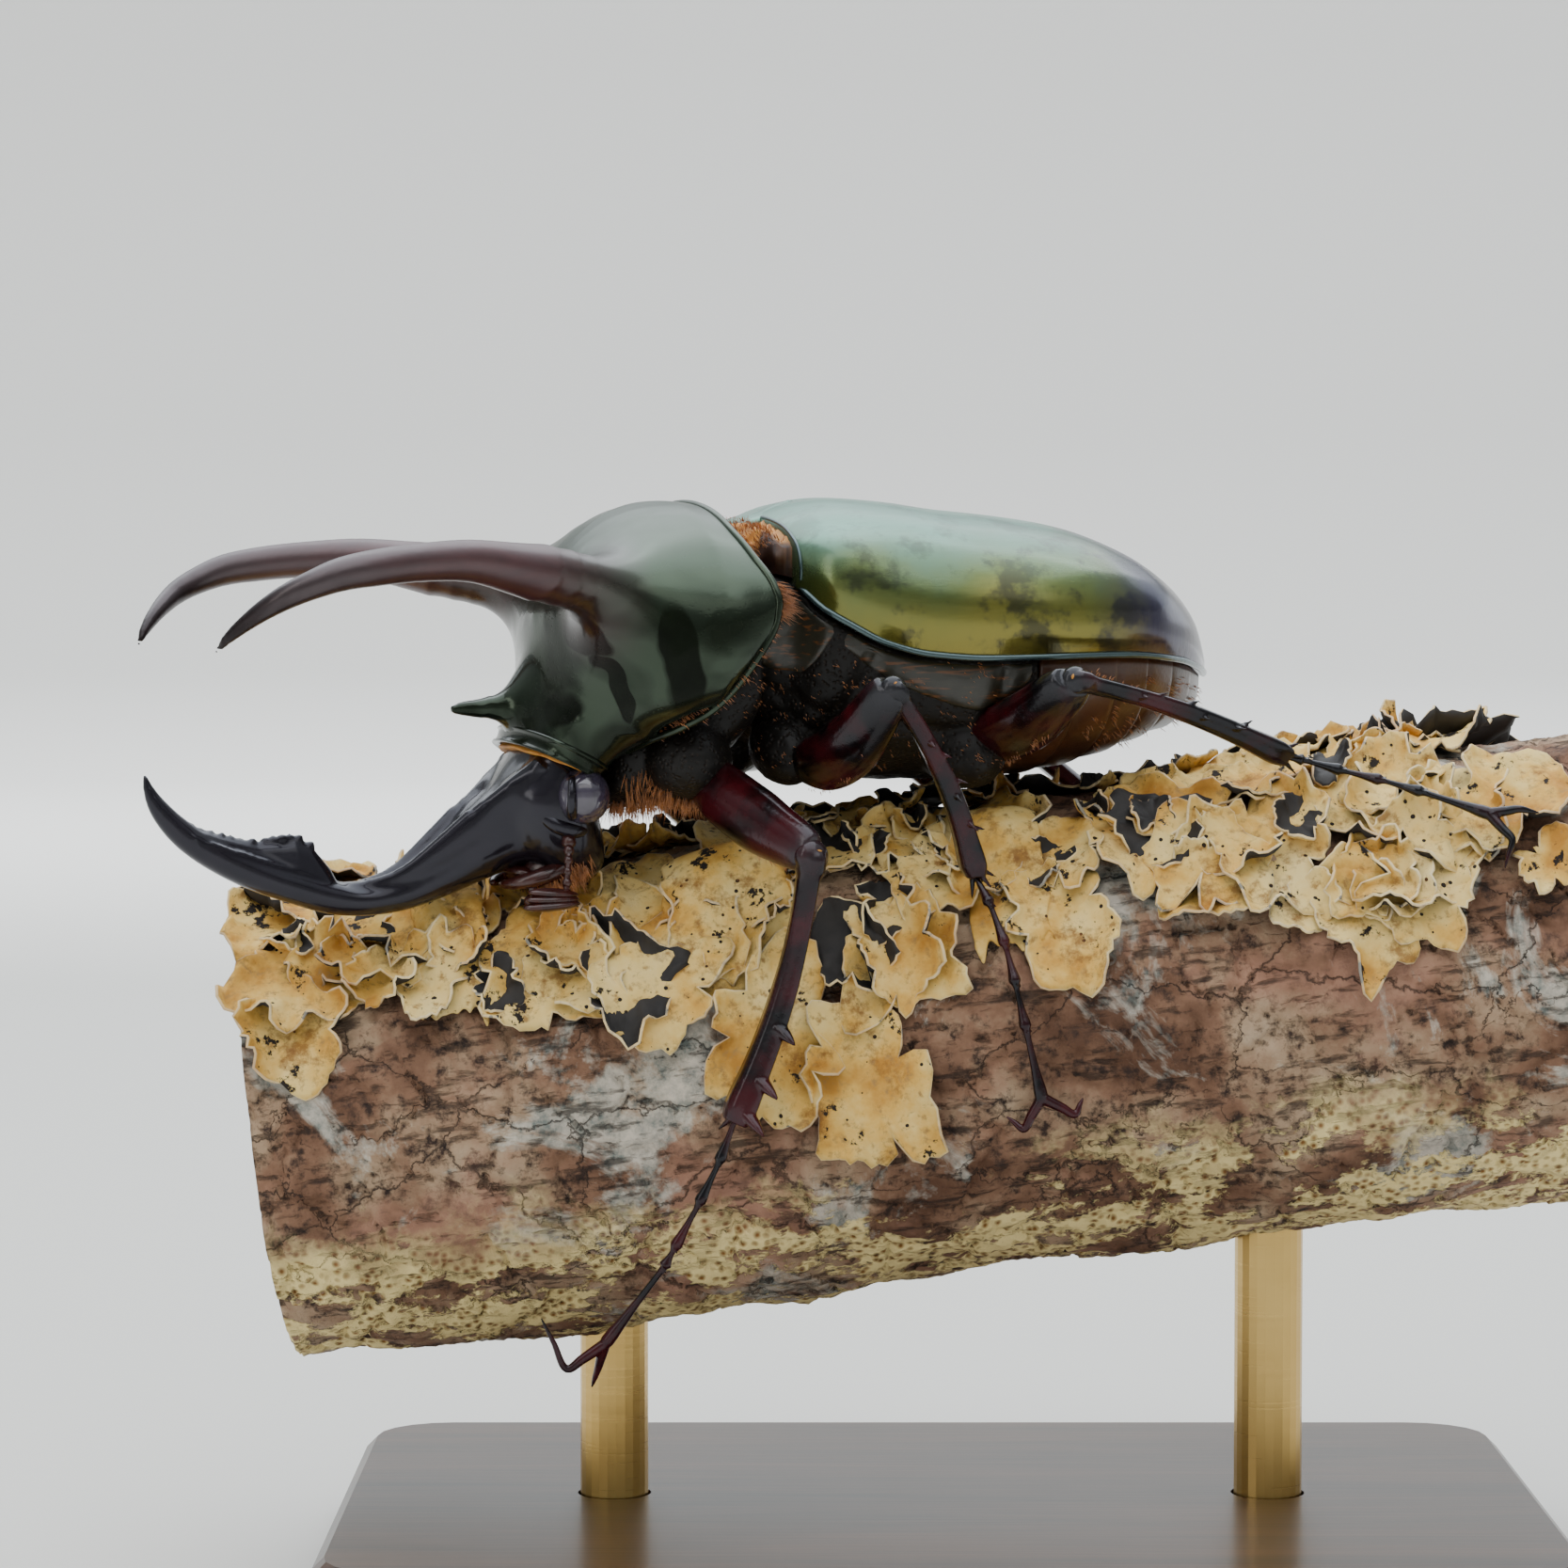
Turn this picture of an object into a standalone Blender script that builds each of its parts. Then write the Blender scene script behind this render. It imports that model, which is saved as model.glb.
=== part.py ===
"""A male caucasus beetle, life size, gripping a short length of branch on a plain display stand.

Sizes and places are in millimetres, measured from the beetle's reference point, which is on its
midline under the middle of its back. The head points to -X, the left side to -Y and the back to +Z.
"""
import math

import bmesh
import bpy
from mathutils import Matrix, Vector

MM = 0.001
GAP = 0.3

# Driving dimensions of the beetle
ELYTRA_WIDTH = 46.0
PRONOTUM_WIDTH = 42.4
THORAX_HORN_SPREAD = 46.5
HEAD_WIDTH = 16.0
EYE_DIAMETER = 4.4

# Driving dimensions of the branch and the stand
PERCH_RADIUS = 23.6
PERCH_AT = Vector((16.4, 0.0, -46.2))
PERCH_TURN = math.radians(-20.0)
PERCH_RISE = math.radians(7.2)
PERCH_START = -64.0
PERCH_END = 74.0
BODY_HEIGHT = 100.0
BASE_LENGTH = 124.0
BASE_DEPTH = 82.0
BASE_THICKNESS = 8.0
BASE_CORNER = 9.0
BASE_CHAMFER = 1.2
ROD_DIAMETER = 7.0
ROD_PLACES = (-29.0, 39.0)
ROD_SUNK = 4.0
BARK_SWELL = 1.0

PERCH_ALONG = Vector((math.cos(PERCH_RISE) * math.cos(PERCH_TURN),
                      math.cos(PERCH_RISE) * math.sin(PERCH_TURN), math.sin(PERCH_RISE)))
PERCH_NEAR = Vector((math.sin(PERCH_TURN), -math.cos(PERCH_TURN), 0.0))
PERCH_UP = PERCH_NEAR.cross(PERCH_ALONG)
STAND_CENTRE = PERCH_AT + PERCH_ALONG * (sum(ROD_PLACES) / 2)
LEFT, RIGHT = -1.0, 1.0
SIDE_NAMES = {LEFT: "left", RIGHT: "right"}


# Helpers for smooth lines and shapes

def curve(points, firm=True):
    """A smooth line through (place, value) pairs. A firm one never swings past its points."""
    places = [p[0] for p in points]
    values = [p[1] for p in points]
    steps = [(values[i + 1] - values[i]) / (places[i + 1] - places[i]) for i in range(len(points) - 1)]
    slopes = [steps[0]]
    for before, after in zip(steps, steps[1:]):
        if firm and before * after <= 0:
            slopes.append(0.0)
        elif firm:
            slopes.append(2 * before * after / (before + after))
        else:
            slopes.append((before + after) / 2)
    slopes.append(steps[-1])

    def at(place):
        place = min(max(place, places[0]), places[-1])
        i = max(k for k in range(len(steps)) if places[k] <= place or k == 0)
        width = places[i + 1] - places[i]
        t = (place - places[i]) / width
        return ((1 + 2 * t) * (1 - t) ** 2 * values[i] + t * (1 - t) ** 2 * width * slopes[i]
                + t * t * (3 - 2 * t) * values[i + 1] - t * t * (1 - t) * width * slopes[i + 1])
    return at


def through(rows, count):
    """Rows of (x, y, z, wide, thick) spread evenly along the smooth line through the given rows."""
    run = [0.0]
    for a, b in zip(rows, rows[1:]):
        run.append(run[-1] + (Vector(b[:3]) - Vector(a[:3])).length)
    lines = [curve([(r, row[k]) for r, row in zip(run, rows)], firm=k > 2) for k in range(len(rows[0]))]
    return [tuple(line(run[-1] * i / (count - 1)) for line in lines) for i in range(count)]


def superellipse(angle, power):
    """(across, up) on a rounded square of unit half size, with the angle counted from the top."""
    across, up = math.sin(angle), math.cos(angle)
    return (math.copysign(abs(across) ** (2 / power), across), math.copysign(abs(up) ** (2 / power), up))


def loft(name, rings):
    """A closed body through rings of points: a circle is extruded from ring to ring and capped."""
    bm = bmesh.new()
    sides = len(rings[0])
    verts = bmesh.ops.create_circle(bm, cap_ends=False, segments=sides, radius=1.0)["verts"]
    for vert, point in zip(verts, rings[0]):
        vert.co = Vector(point) * MM
    first = verts
    for ring in rings[1:]:
        edges = [bm.edges.get((verts[i - 1], verts[i])) for i in range(sides)]
        made = bmesh.ops.extrude_edge_only(bm, edges=edges)["geom"]
        fresh = {item for item in made if isinstance(item, bmesh.types.BMVert)}
        verts = [next(e.other_vert(v) for e in v.link_edges if e.other_vert(v) in fresh) for v in verts]
        for vert, point in zip(verts, ring):
            vert.co = Vector(point) * MM
    for end in (first, verts):
        bmesh.ops.contextual_create(bm, geom=end)
    return finished(name, bm)


def finished(name, bm):
    """Turns a bmesh into a smooth-shaded object with its faces outwards."""
    bmesh.ops.triangulate(bm, faces=[f for f in bm.faces if len(f.verts) > 4])
    bmesh.ops.recalc_face_normals(bm, faces=bm.faces)
    mesh = bpy.data.meshes.new(name)
    bm.to_mesh(mesh)
    bm.free()
    obj = bpy.data.objects.new(name, mesh)
    bpy.context.scene.collection.objects.link(obj)
    return obj


def rounded(angle):
    """The plain round section of a tube."""
    return math.sin(angle), math.cos(angle)


def tube(name, rows, sides, across, section=rounded, grow=0.0):
    """A tapered limb through (x, y, z, wide, thick) rows; across is the way its wide side faces."""
    points = [Vector(row[:3]) for row in rows]
    rings = []
    for i, (point, row) in enumerate(zip(points, rows)):
        along = (points[min(i + 1, len(rows) - 1)] - points[max(i - 1, 0)]).normalized()
        wide = (Vector(across) - along * Vector(across).dot(along)).normalized()
        thick = along.cross(wide)
        if grow and i in (0, len(rows) - 1):
            point = point + along * (grow if i else -grow)
        ring = []
        for k in range(sides):
            u, v = section(2 * math.pi * k / sides)
            ring.append(point + wide * u * (row[3] / 2 + grow) + thick * v * (row[4] / 2 + grow))
        rings.append(ring)
    return loft(name, rings)


def cone(name, foot, tip, radius, sides=6, blunt=0.12):
    """A spine from its foot, which is sunk in the limb, to its tip."""
    foot, tip = Vector(foot), Vector(tip)
    bm = bmesh.new()
    turn = (tip - foot).to_track_quat("Z", "Y").to_matrix().to_4x4()
    at = Matrix.Translation((foot + tip) / 2 * MM) @ turn
    bmesh.ops.create_cone(bm, cap_ends=True, segments=sides, radius1=radius * MM, radius2=blunt * MM,
                          depth=(tip - foot).length * MM, matrix=at)
    return finished(name, bm)


def ball(name, centre, radii, turn=None, detail=(12, 8)):
    """An ellipsoid, turned by a matrix where one is given."""
    bm = bmesh.new()
    size = Matrix.Diagonal((*[r * MM for r in radii], 1.0))
    at = Matrix.Translation(Vector(centre) * MM) @ (turn or Matrix.Identity(4)) @ size
    bmesh.ops.create_uvsphere(bm, u_segments=detail[0], v_segments=detail[1], radius=1.0, matrix=at)
    return finished(name, bm)


def keep_largest(obj):
    """Drops every closed surface of the mesh but the largest."""
    bm = bmesh.new()
    bm.from_mesh(obj.data)
    left = set(bm.verts)
    shells = []
    while left:
        stack = [left.pop()]
        shell = set(stack)
        while stack:
            for edge in stack.pop().link_edges:
                for vert in edge.verts:
                    if vert not in shell:
                        shell.add(vert)
                        stack.append(vert)
        left -= shell
        shells.append(shell)
    best = max(shells, key=len)
    for shell in shells:
        if shell is not best:
            bmesh.ops.delete(bm, geom=list(shell), context="VERTS")
    bm.to_mesh(obj.data)
    bm.free()


def boolean(obj, others, operation):
    """One exact Boolean of the object with a collection of closed ones, applied and cleared away."""
    group = bpy.data.collections.new("joined pieces")
    bpy.context.scene.collection.children.link(group)
    for other in others:
        bpy.context.scene.collection.objects.unlink(other)
        group.objects.link(other)
    modifier = obj.modifiers.new("join", "BOOLEAN")
    modifier.operand_type = "COLLECTION"
    modifier.collection = group
    modifier.operation = operation
    modifier.solver = "EXACT"
    graph = bpy.context.evaluated_depsgraph_get()
    mesh = bpy.data.meshes.new_from_object(obj.evaluated_get(graph))
    obj.modifiers.clear()
    obj.data = mesh
    for other in others:
        bpy.data.objects.remove(other)
    bpy.data.collections.remove(group)
    keep_largest(obj)
    return obj


def material(name, hex_colour, roughness, metallic=0.0):
    """A plain finish for a node, from an sRGB hex colour."""
    made = bpy.data.materials.new(name)
    made.use_nodes = True
    shader = made.node_tree.nodes["Principled BSDF"]
    parts = [int(hex_colour[i:i + 2], 16) / 255 for i in (0, 2, 4)]
    linear = [c / 12.92 if c <= 0.04045 else ((c + 0.055) / 1.055) ** 2.4 for c in parts]
    shader.inputs["Base Color"].default_value = (*linear, 1.0)
    shader.inputs["Roughness"].default_value = roughness
    shader.inputs["Metallic"].default_value = metallic
    return made


# The wing cases and what lies under them

ELYTRA_TOP = curve([(0.8, 8.8), (4, 10), (8, 10.6), (13, 10.3), (19, 9.5), (25, 8.9), (31, 8.0), (36.8, 6.1),
                    (42, 3.3), (45.4, 0.6), (47.2, -2.2), (48.8, -5.0), (50.0, -7.4)])
ELYTRA_RIM = curve([(-1.8, 2.4), (0.8, 1.4), (2.5, -0.6), (4.2, -1.8), (8, -3.9), (12.3, -5.0), (18, -5.4),
                    (32, -5.2), (41, -5.9), (46, -6.9), (50.0, -7.9)])
ELYTRA_HALF = curve([(-1.8, 0.60), (0.8, 0.66), (3, 0.79), (7, 0.88), (13, 0.94), (20, 0.98), (26, 1.0),
                     (32, 0.97), (37, 0.87), (41.5, 0.70), (45, 0.52), (47.6, 0.34), (49.2, 0.20),
                     (50.0, 0.09)])
RIM_INSET = 0.955
SHELL_EDGE = 0.9


def elytra_half(x):
    return ELYTRA_HALF(x) * ELYTRA_WIDTH / 2


def belly_half(x):
    """Half the width of the body between the wing cases' rims."""
    return elytra_half(x) * RIM_INSET - SHELL_EDGE - GAP


def under_elytra(x, share):
    """Height of the wing cases' underside, from the midline (share 0) to just inside the rim (share 1)."""
    rise = 0.34 * (ELYTRA_TOP(x) - ELYTRA_RIM(x))
    return ELYTRA_RIM(x) + 0.15 + rise * math.cos(share * math.pi / 2)


def elytron_ring(x, side):
    """One section of a wing case: down its outer side, then back along its underside."""
    half, top, rim = elytra_half(x), ELYTRA_TOP(x), ELYTRA_RIM(x)
    widest = rim + 0.26 * (top - rim)
    ring = []
    for k in range(10):
        across, up = superellipse(math.pi / 2 * k / 9, 2.25)
        ring.append((GAP / 2 + across * (half - GAP / 2), widest + up * (top - widest)))
    ring.append((half * 0.99, (widest + rim) / 2))
    ring.append((half * RIM_INSET, rim))
    for share in (1.0, 0.7, 0.35, 0.0):
        ring.append((GAP / 2 + share * (half * RIM_INSET - SHELL_EDGE), under_elytra(x, share)))
    return [(x, side * y, z) for y, z in ring]


ELYTRA_STATIONS = [0.8, 2, 3.5, 5.5, 8.5, 12.5, 17, 22, 27, 32, 36, 39.5, 42.5, 45, 46.8, 48.2, 49.2, 50.0]


def elytron(side):
    return loft(f"elytron_{SIDE_NAMES[side]}", [elytron_ring(x, side) for x in ELYTRA_STATIONS])


SCUTELLUM_THICKNESS = 1.5


def scutellum(grow=0.0):
    """The small triangle between the wing cases' front ends."""
    rings = []
    for x, half in ((-0.6 - grow, 3.6), (1.0, 3.4), (3.0, 2.0), (4.6, 0.8), (5.3 + grow, 0.3)):
        top = ELYTRA_TOP(x) + 0.1
        low = top - SCUTELLUM_THICKNESS - grow
        half = half + grow
        top = top + grow * 4
        edge = top - 0.3
        rings.append([(x, -half, low), (x, -half, edge), (x, 0, top), (x, half, edge), (x, half, low)])
    return loft("scutellum", rings)


def belly_ring(x, width, bottom, count=26, top=None, power=2.3):
    """A section of the body under the wing cases, whose top follows their underside."""
    ring = []
    arch = 9
    for k in range(arch):
        share = 2 * k / (arch - 1) - 1
        if top is None:
            z = under_elytra(x, abs(share)) - GAP
        else:
            z = ELYTRA_RIM(x) + (top - ELYTRA_RIM(x)) * (1 - share ** 4)
        ring.append((x, share * width, z))
    edge = ring[0][2]
    for k in range(1, count - arch + 1):
        angle = math.pi * k / (count - arch + 1)
        across = math.copysign(abs(math.cos(angle)) ** (2 / power), math.cos(angle))
        ring.append((x, across * width, edge - (edge - bottom) * math.sin(angle) ** (2 / power)))
    return ring


THORAX_BOTTOM = curve([(-1.8, -12.5), (1, -14.8), (5, -16.8), (10, -17.8), (16, -18.1), (22, -18.0),
                       (24, -17.8)])
NECK_TOP = 6.6
ELYTRA_FRONT = 0.5


def hind_thorax():
    """The middle and hind thorax in one, with the sockets' bulges of the middle and hind legs."""
    rings = []
    for x in (-1.8, 0.45, 0.5, 4, 8, 12, 16, 20, 23.8):
        top = NECK_TOP if x < ELYTRA_FRONT else None
        rings.append(belly_ring(x, belly_half(x), THORAX_BOTTOM(x), top=top))
    body = loft("hind_thorax", rings)
    bulges = []
    for side in SIDE_NAMES:
        lean = Matrix.Rotation(side * math.radians(-24), 4, "X")
        bulges.append(ball("bulge", (1.6, side * 8.0, -14.2), (3.8, 5.0, 3.8), lean))
        bulges.append(ball("bulge", (18.6, side * 11.5, -12.8), (5.0, 8.4, 5.0), lean))
    return boolean(body, bulges, "UNION")


ABDOMEN_BOTTOM = curve([(24, -17.7), (29, -17.2), (34, -16.2), (39, -14.7), (44, -13.2), (47.5, -12.2),
                        (50, -10.9)])
SEGMENT_ENDS = (24.1, 28.3, 32.6, 36.8, 41.0, 45.0)


def abdomen():
    """The belly's ringed segments, each a little proud of the next, and the rounded tail plate."""
    rings = []
    for x, following in zip(SEGMENT_ENDS, SEGMENT_ENDS[1:]):
        for place, proud in ((x, 0.0), (following - 0.25, 0.45)):
            rings.append(belly_ring(place, belly_half(place), ABDOMEN_BOTTOM(place) - proud))
    for x in (45.0, 47.4, 49.0, 49.8):
        bottom = ABDOMEN_BOTTOM(x) + (x - 45) * 0.1
        rings.append(belly_ring(x, max(belly_half(x), 1.2), bottom))
    return loft("abdomen", rings)


# The shield behind the head, with its horns

SHIELD = {
    "top_x": [-2.2, -4.5, -9.5, -14.5, -18.6, -21.4, -22.5, -22.7, -23.9, -25.2],
    "top_z": [8.3, 9.6, 10.3, 9.4, 7.3, 4.2, 0.3, -4.7, -9.8, -13.8],
    "low_x": [-2.8, -5.0, -8.2, -11.0, -13.0, -14.5, -15.5, -16.1, -16.5, -17.0],
    "low_z": [-2.5, -7.0, -11.5, -13.2, -14.0, -14.8, -15.6, -16.3, -16.9, -17.6],
    "half": [0.96, 0.99, 1.0, 0.945, 0.86, 0.75, 0.645, 0.56, 0.49, 0.43],
    "widest": [0.72, 0.68, 0.62, 0.60, 0.57, 0.54, 0.52, 0.5, 0.5, 0.5],
}
SHIELD_LINES = {key: curve(list(enumerate(values)), firm=False) for key, values in SHIELD.items()}
SHIELD_RINGS = 19
SHIELD_SIDES = 32


def shield_ring(v, grow=0.0):
    """One section of the pronotum: its plane turns from upright at the back to level at the collar."""
    line = {key: at(v) for key, at in SHIELD_LINES.items()}
    top = Vector((line["top_x"], 0, line["top_z"]))
    low = Vector((line["low_x"], 0, line["low_z"]))
    down = (low - top).normalized()
    top, low = top - down * grow, low + down * grow
    half = line["half"] * PRONOTUM_WIDTH / 2 + grow
    ring = []
    for k in range(SHIELD_SIDES):
        across, up = superellipse(2 * math.pi * k / SHIELD_SIDES, 2.1)
        if up < 0:
            across, up = superellipse(2 * math.pi * k / SHIELD_SIDES, 3.0)
        share = line["widest"] - up * (line["widest"] if up > 0 else 1 - line["widest"])
        ring.append(top + (low - top) * share + Vector((0, across * half, 0)))
    return ring


def pronotum(grow=0.0):
    last = len(SHIELD["half"]) - 1
    return loft("pronotum", [shield_ring(last * i / (SHIELD_RINGS - 1), grow) for i in range(SHIELD_RINGS)])


def side_horn_rows(side):
    """(x, y, z, wide, thick) along one of the two long horns, bowed out at its middle and in at its tip."""
    spread = THORAX_HORN_SPREAD / 2
    rows = [(-12.9, 0.48, 0.6, 10.0, 9.4), (-18.9, 0.59, 1.4, 8.8, 8.2), (-24.0, 0.69, 2.6, 7.1, 6.7),
            (-29.3, 0.775, 3.6, 5.6, 5.1), (-34.5, 0.855, 4.4, 4.4, 4.1), (-39.7, 0.925, 4.3, 3.9, 3.7),
            (-44.7, 0.985, 3.8, 3.6, 3.5), (-48.1, 1.0, 3.2, 3.3, 3.2), (-50.6, 0.99, 2.3, 2.9, 2.8),
            (-53.1, 0.95, 1.1, 2.4, 2.4), (-55.2, 0.88, -0.4, 1.9, 1.9), (-57.1, 0.795, -2.2, 1.3, 1.3),
            (-57.9, 0.75, -3.2, 0.9, 0.9), (-58.5, 0.71, -4.3, 0.3, 0.3)]
    return [(x, side * y * spread, z, wide, thick) for x, y, z, wide, thick in rows]


def side_horn(side, grow=0.0):
    rows = through(side_horn_rows(side), 20)
    return tube(f"thorax_horn_{SIDE_NAMES[side]}", rows, 12, (0, 1, 0), grow=grow)


def middle_horn(grow=0.0):
    rows = [(-21.2, 0, -9.2, 8.4, 6.6), (-23.4, 0, -9.9, 5.6, 5.0), (-25.0, 0, -10.3, 3.8, 3.6),
            (-26.6, 0, -10.3, 2.6, 2.6), (-28.6, 0, -10.2, 1.8, 1.8), (-30.2, 0, -10.1, 1.1, 1.1),
            (-30.9, 0, -10.0, 0.4, 0.4)]
    return tube("thorax_horn_middle", through(rows, 9), 10, (0, 1, 0), grow=grow)


def fore_thorax():
    """The underside of the prothorax, which the pronotum covers, with the front legs' bulges."""
    rings = []
    for x, top, bottom, half in ((-16.6, -17.0, -18.9, 4.5), (-15.4, -12, -20.0, 7.5), (-12, -8, -20.2, 9.6),
                                 (-8, -6, -18.6, 11), (-4.5, -2, -15.8, 12), (-2.2, 0, -13.2, 12.6)):
        middle = (top + bottom) / 2
        ring = []
        for k in range(20):
            across, up = superellipse(2 * math.pi * k / 20, 2.4)
            ring.append((x, across * half, middle + up * (top - bottom) / 2))
        rings.append(ring)
    body = loft("fore_thorax", rings)
    bulges = [ball("bulge", (-9.0, side * 8.6, -15.4), (4.6, 6.0, 4.2)) for side in SIDE_NAMES]
    body = boolean(body, bulges, "UNION")
    return boolean(body, [pronotum(grow=0.42)], "DIFFERENCE")


# The head

def head():
    """The head capsule, hung under the collar, from its neck to its mouth."""
    rings = []
    lean = Vector((0.92, 0, -0.40))
    for x, z, length, half in ((-20.8, -16.6, 3.5, 0.90), (-20.9, -18.2, 4.7, 1.0), (-21.1, -20.6, 5.8, 0.97),
                               (-21.0, -23.0, 6.1, 0.88), (-20.9, -25.2, 5.2, 0.72),
                               (-20.9, -26.8, 3.6, 0.5)):
        ring = []
        for k in range(24):
            across, up = superellipse(2 * math.pi * k / 24, 2.3)
            ring.append(Vector((x, across * half * HEAD_WIDTH / 2, z)) - lean * up * length)
        rings.append(ring)
    return loft("head", rings)


HEAD_HORN_ROWS = [(-22.5, 0, -21.2, 8.6, 9.6), (-25.5, 0, -22.6, 8.0, 8.4), (-28.5, 0, -24.4, 6.8, 6.6),
                  (-32, 0, -26.6, 5.4, 5.0), (-36, 0, -28.5, 4.4, 3.7), (-40, 0, -29.2, 3.9, 3.1),
                  (-43.5, 0, -28.7, 3.8, 3.4), (-46.5, 0, -27.8, 3.7, 3.4), (-50.5, 0, -26.4, 3.4, 3.4),
                  (-54.5, 0, -24.5, 3.0, 3.2), (-57.8, 0, -22.4, 2.4, 2.7), (-60.2, 0, -19.9, 1.8, 2.0),
                  (-61.3, 0, -17.9, 1.0, 1.1), (-61.7, 0, -16.4, 0.3, 0.3)]
CREST = [(-42.2, -28.0), (-43.4, -25.8), (-45.6, -23.4), (-46.7, -22.9), (-50.4, -23.3), (-54.4, -22.4),
         (-57.2, -21.4), (-56.5, -23.0), (-50.0, -26.5), (-45.0, -28.3)]
CREST_HALF_THICKNESS = 0.75


def head_horn(grow=0.0):
    """The long horn of the head, swept up at its tip, with the toothed crest that names the species."""
    horn = tube("head_horn", through(HEAD_HORN_ROWS, 24), 12, (0, 1, 0), grow=grow)
    if grow:
        return horn
    walls = (-CREST_HALF_THICKNESS, CREST_HALF_THICKNESS)
    crest = loft("crest", [[(x, y, z) for x, z in CREST] for y in walls])
    return boolean(horn, [crest], "UNION")


EYE_AT = (-19.62, 7.15, -18.98)


def eye(side, grow=0.0):
    radius = EYE_DIAMETER / 2 + grow
    centre = (EYE_AT[0], side * EYE_AT[1], EYE_AT[2])
    return ball(f"eye_{SIDE_NAMES[side]}", centre, (radius, radius, radius), detail=(12, 9))


ANTENNAE = {
    LEFT: {"stalk": [(-20.6, -6.6, -23.0), (-21.2, -8.4, -25.0), (-21.6, -9.2, -27.0), (-21.8, -9.4, -28.6)],
           "club": (-23.4, -9.6, -29.0), "rise": 0.0},
    RIGHT: {"stalk": [(-20.8, 5.4, -22.4), (-22.0, 8.6, -22.8), (-23.6, 10.6, -23.4), (-25.0, 11.3, -24.4)],
            "club": (-26.2, 11.4, -24.5), "rise": 12.0},
}


def antenna(side, grow=0.0):
    """A short jointed stalk with the leafed club of a scarab at its end."""
    parts = ANTENNAE[side]
    stalk = [(*at, size, size) for at, size in zip(parts["stalk"], (1.1, 0.9, 0.8, 1.0))]
    root = tube(f"antenna_{SIDE_NAMES[side]}", through(stalk, 7), 7, (1, 0.3, 0), grow=grow)
    if grow:
        return root
    lean = Matrix.Rotation(math.radians(parts["rise"]), 4, "Y")
    club = ball("club", parts["club"], (2.9, 0.9, 1.25), lean, detail=(10, 7))
    return boolean(root, [club], "UNION")


PALP_REACH = {LEFT: 3.4, RIGHT: 0.9}


def mouthparts():
    """The upper jaws' blunt front and the two pairs of palps below the head."""
    body = ball("mouthparts", (-20.6, 0, -26.6), (3.4, 4.0, 1.8))
    palps = []
    for side in SIDE_NAMES:
        reach = PALP_REACH[side]
        for x, y, share in ((-19.4, 3.0, 1.0), (-22.6, 1.9, 0.8)):
            low = -27.6 - reach * share
            rows = [(x, side * y, -26.6, 0.9, 0.9), (x - 0.3, side * (y + 0.9), -27.4, 1.0, 1.0),
                    (x - 0.9, side * (y + 1.4), (low - 27.4) / 2, 1.1, 1.1),
                    (x - 1.4, side * (y + 1.3), low, 0.5, 0.5)]
            palps.append(tube("palp", through(rows, 5), 6, (1, 0, 0)))
    return boolean(body, palps, "UNION")


# The legs: each has a root, a knee, an ankle and the joints of its foot

def on_perch(along, angle, proud):
    """A point over the branch: how far along it, how many degrees from its top to the near side, how proud."""
    turn = math.radians(angle)
    out = PERCH_UP * math.cos(turn) + PERCH_NEAR * math.sin(turn)
    return tuple(PERCH_AT + PERCH_ALONG * along + out * (PERCH_RADIUS + proud))


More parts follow.
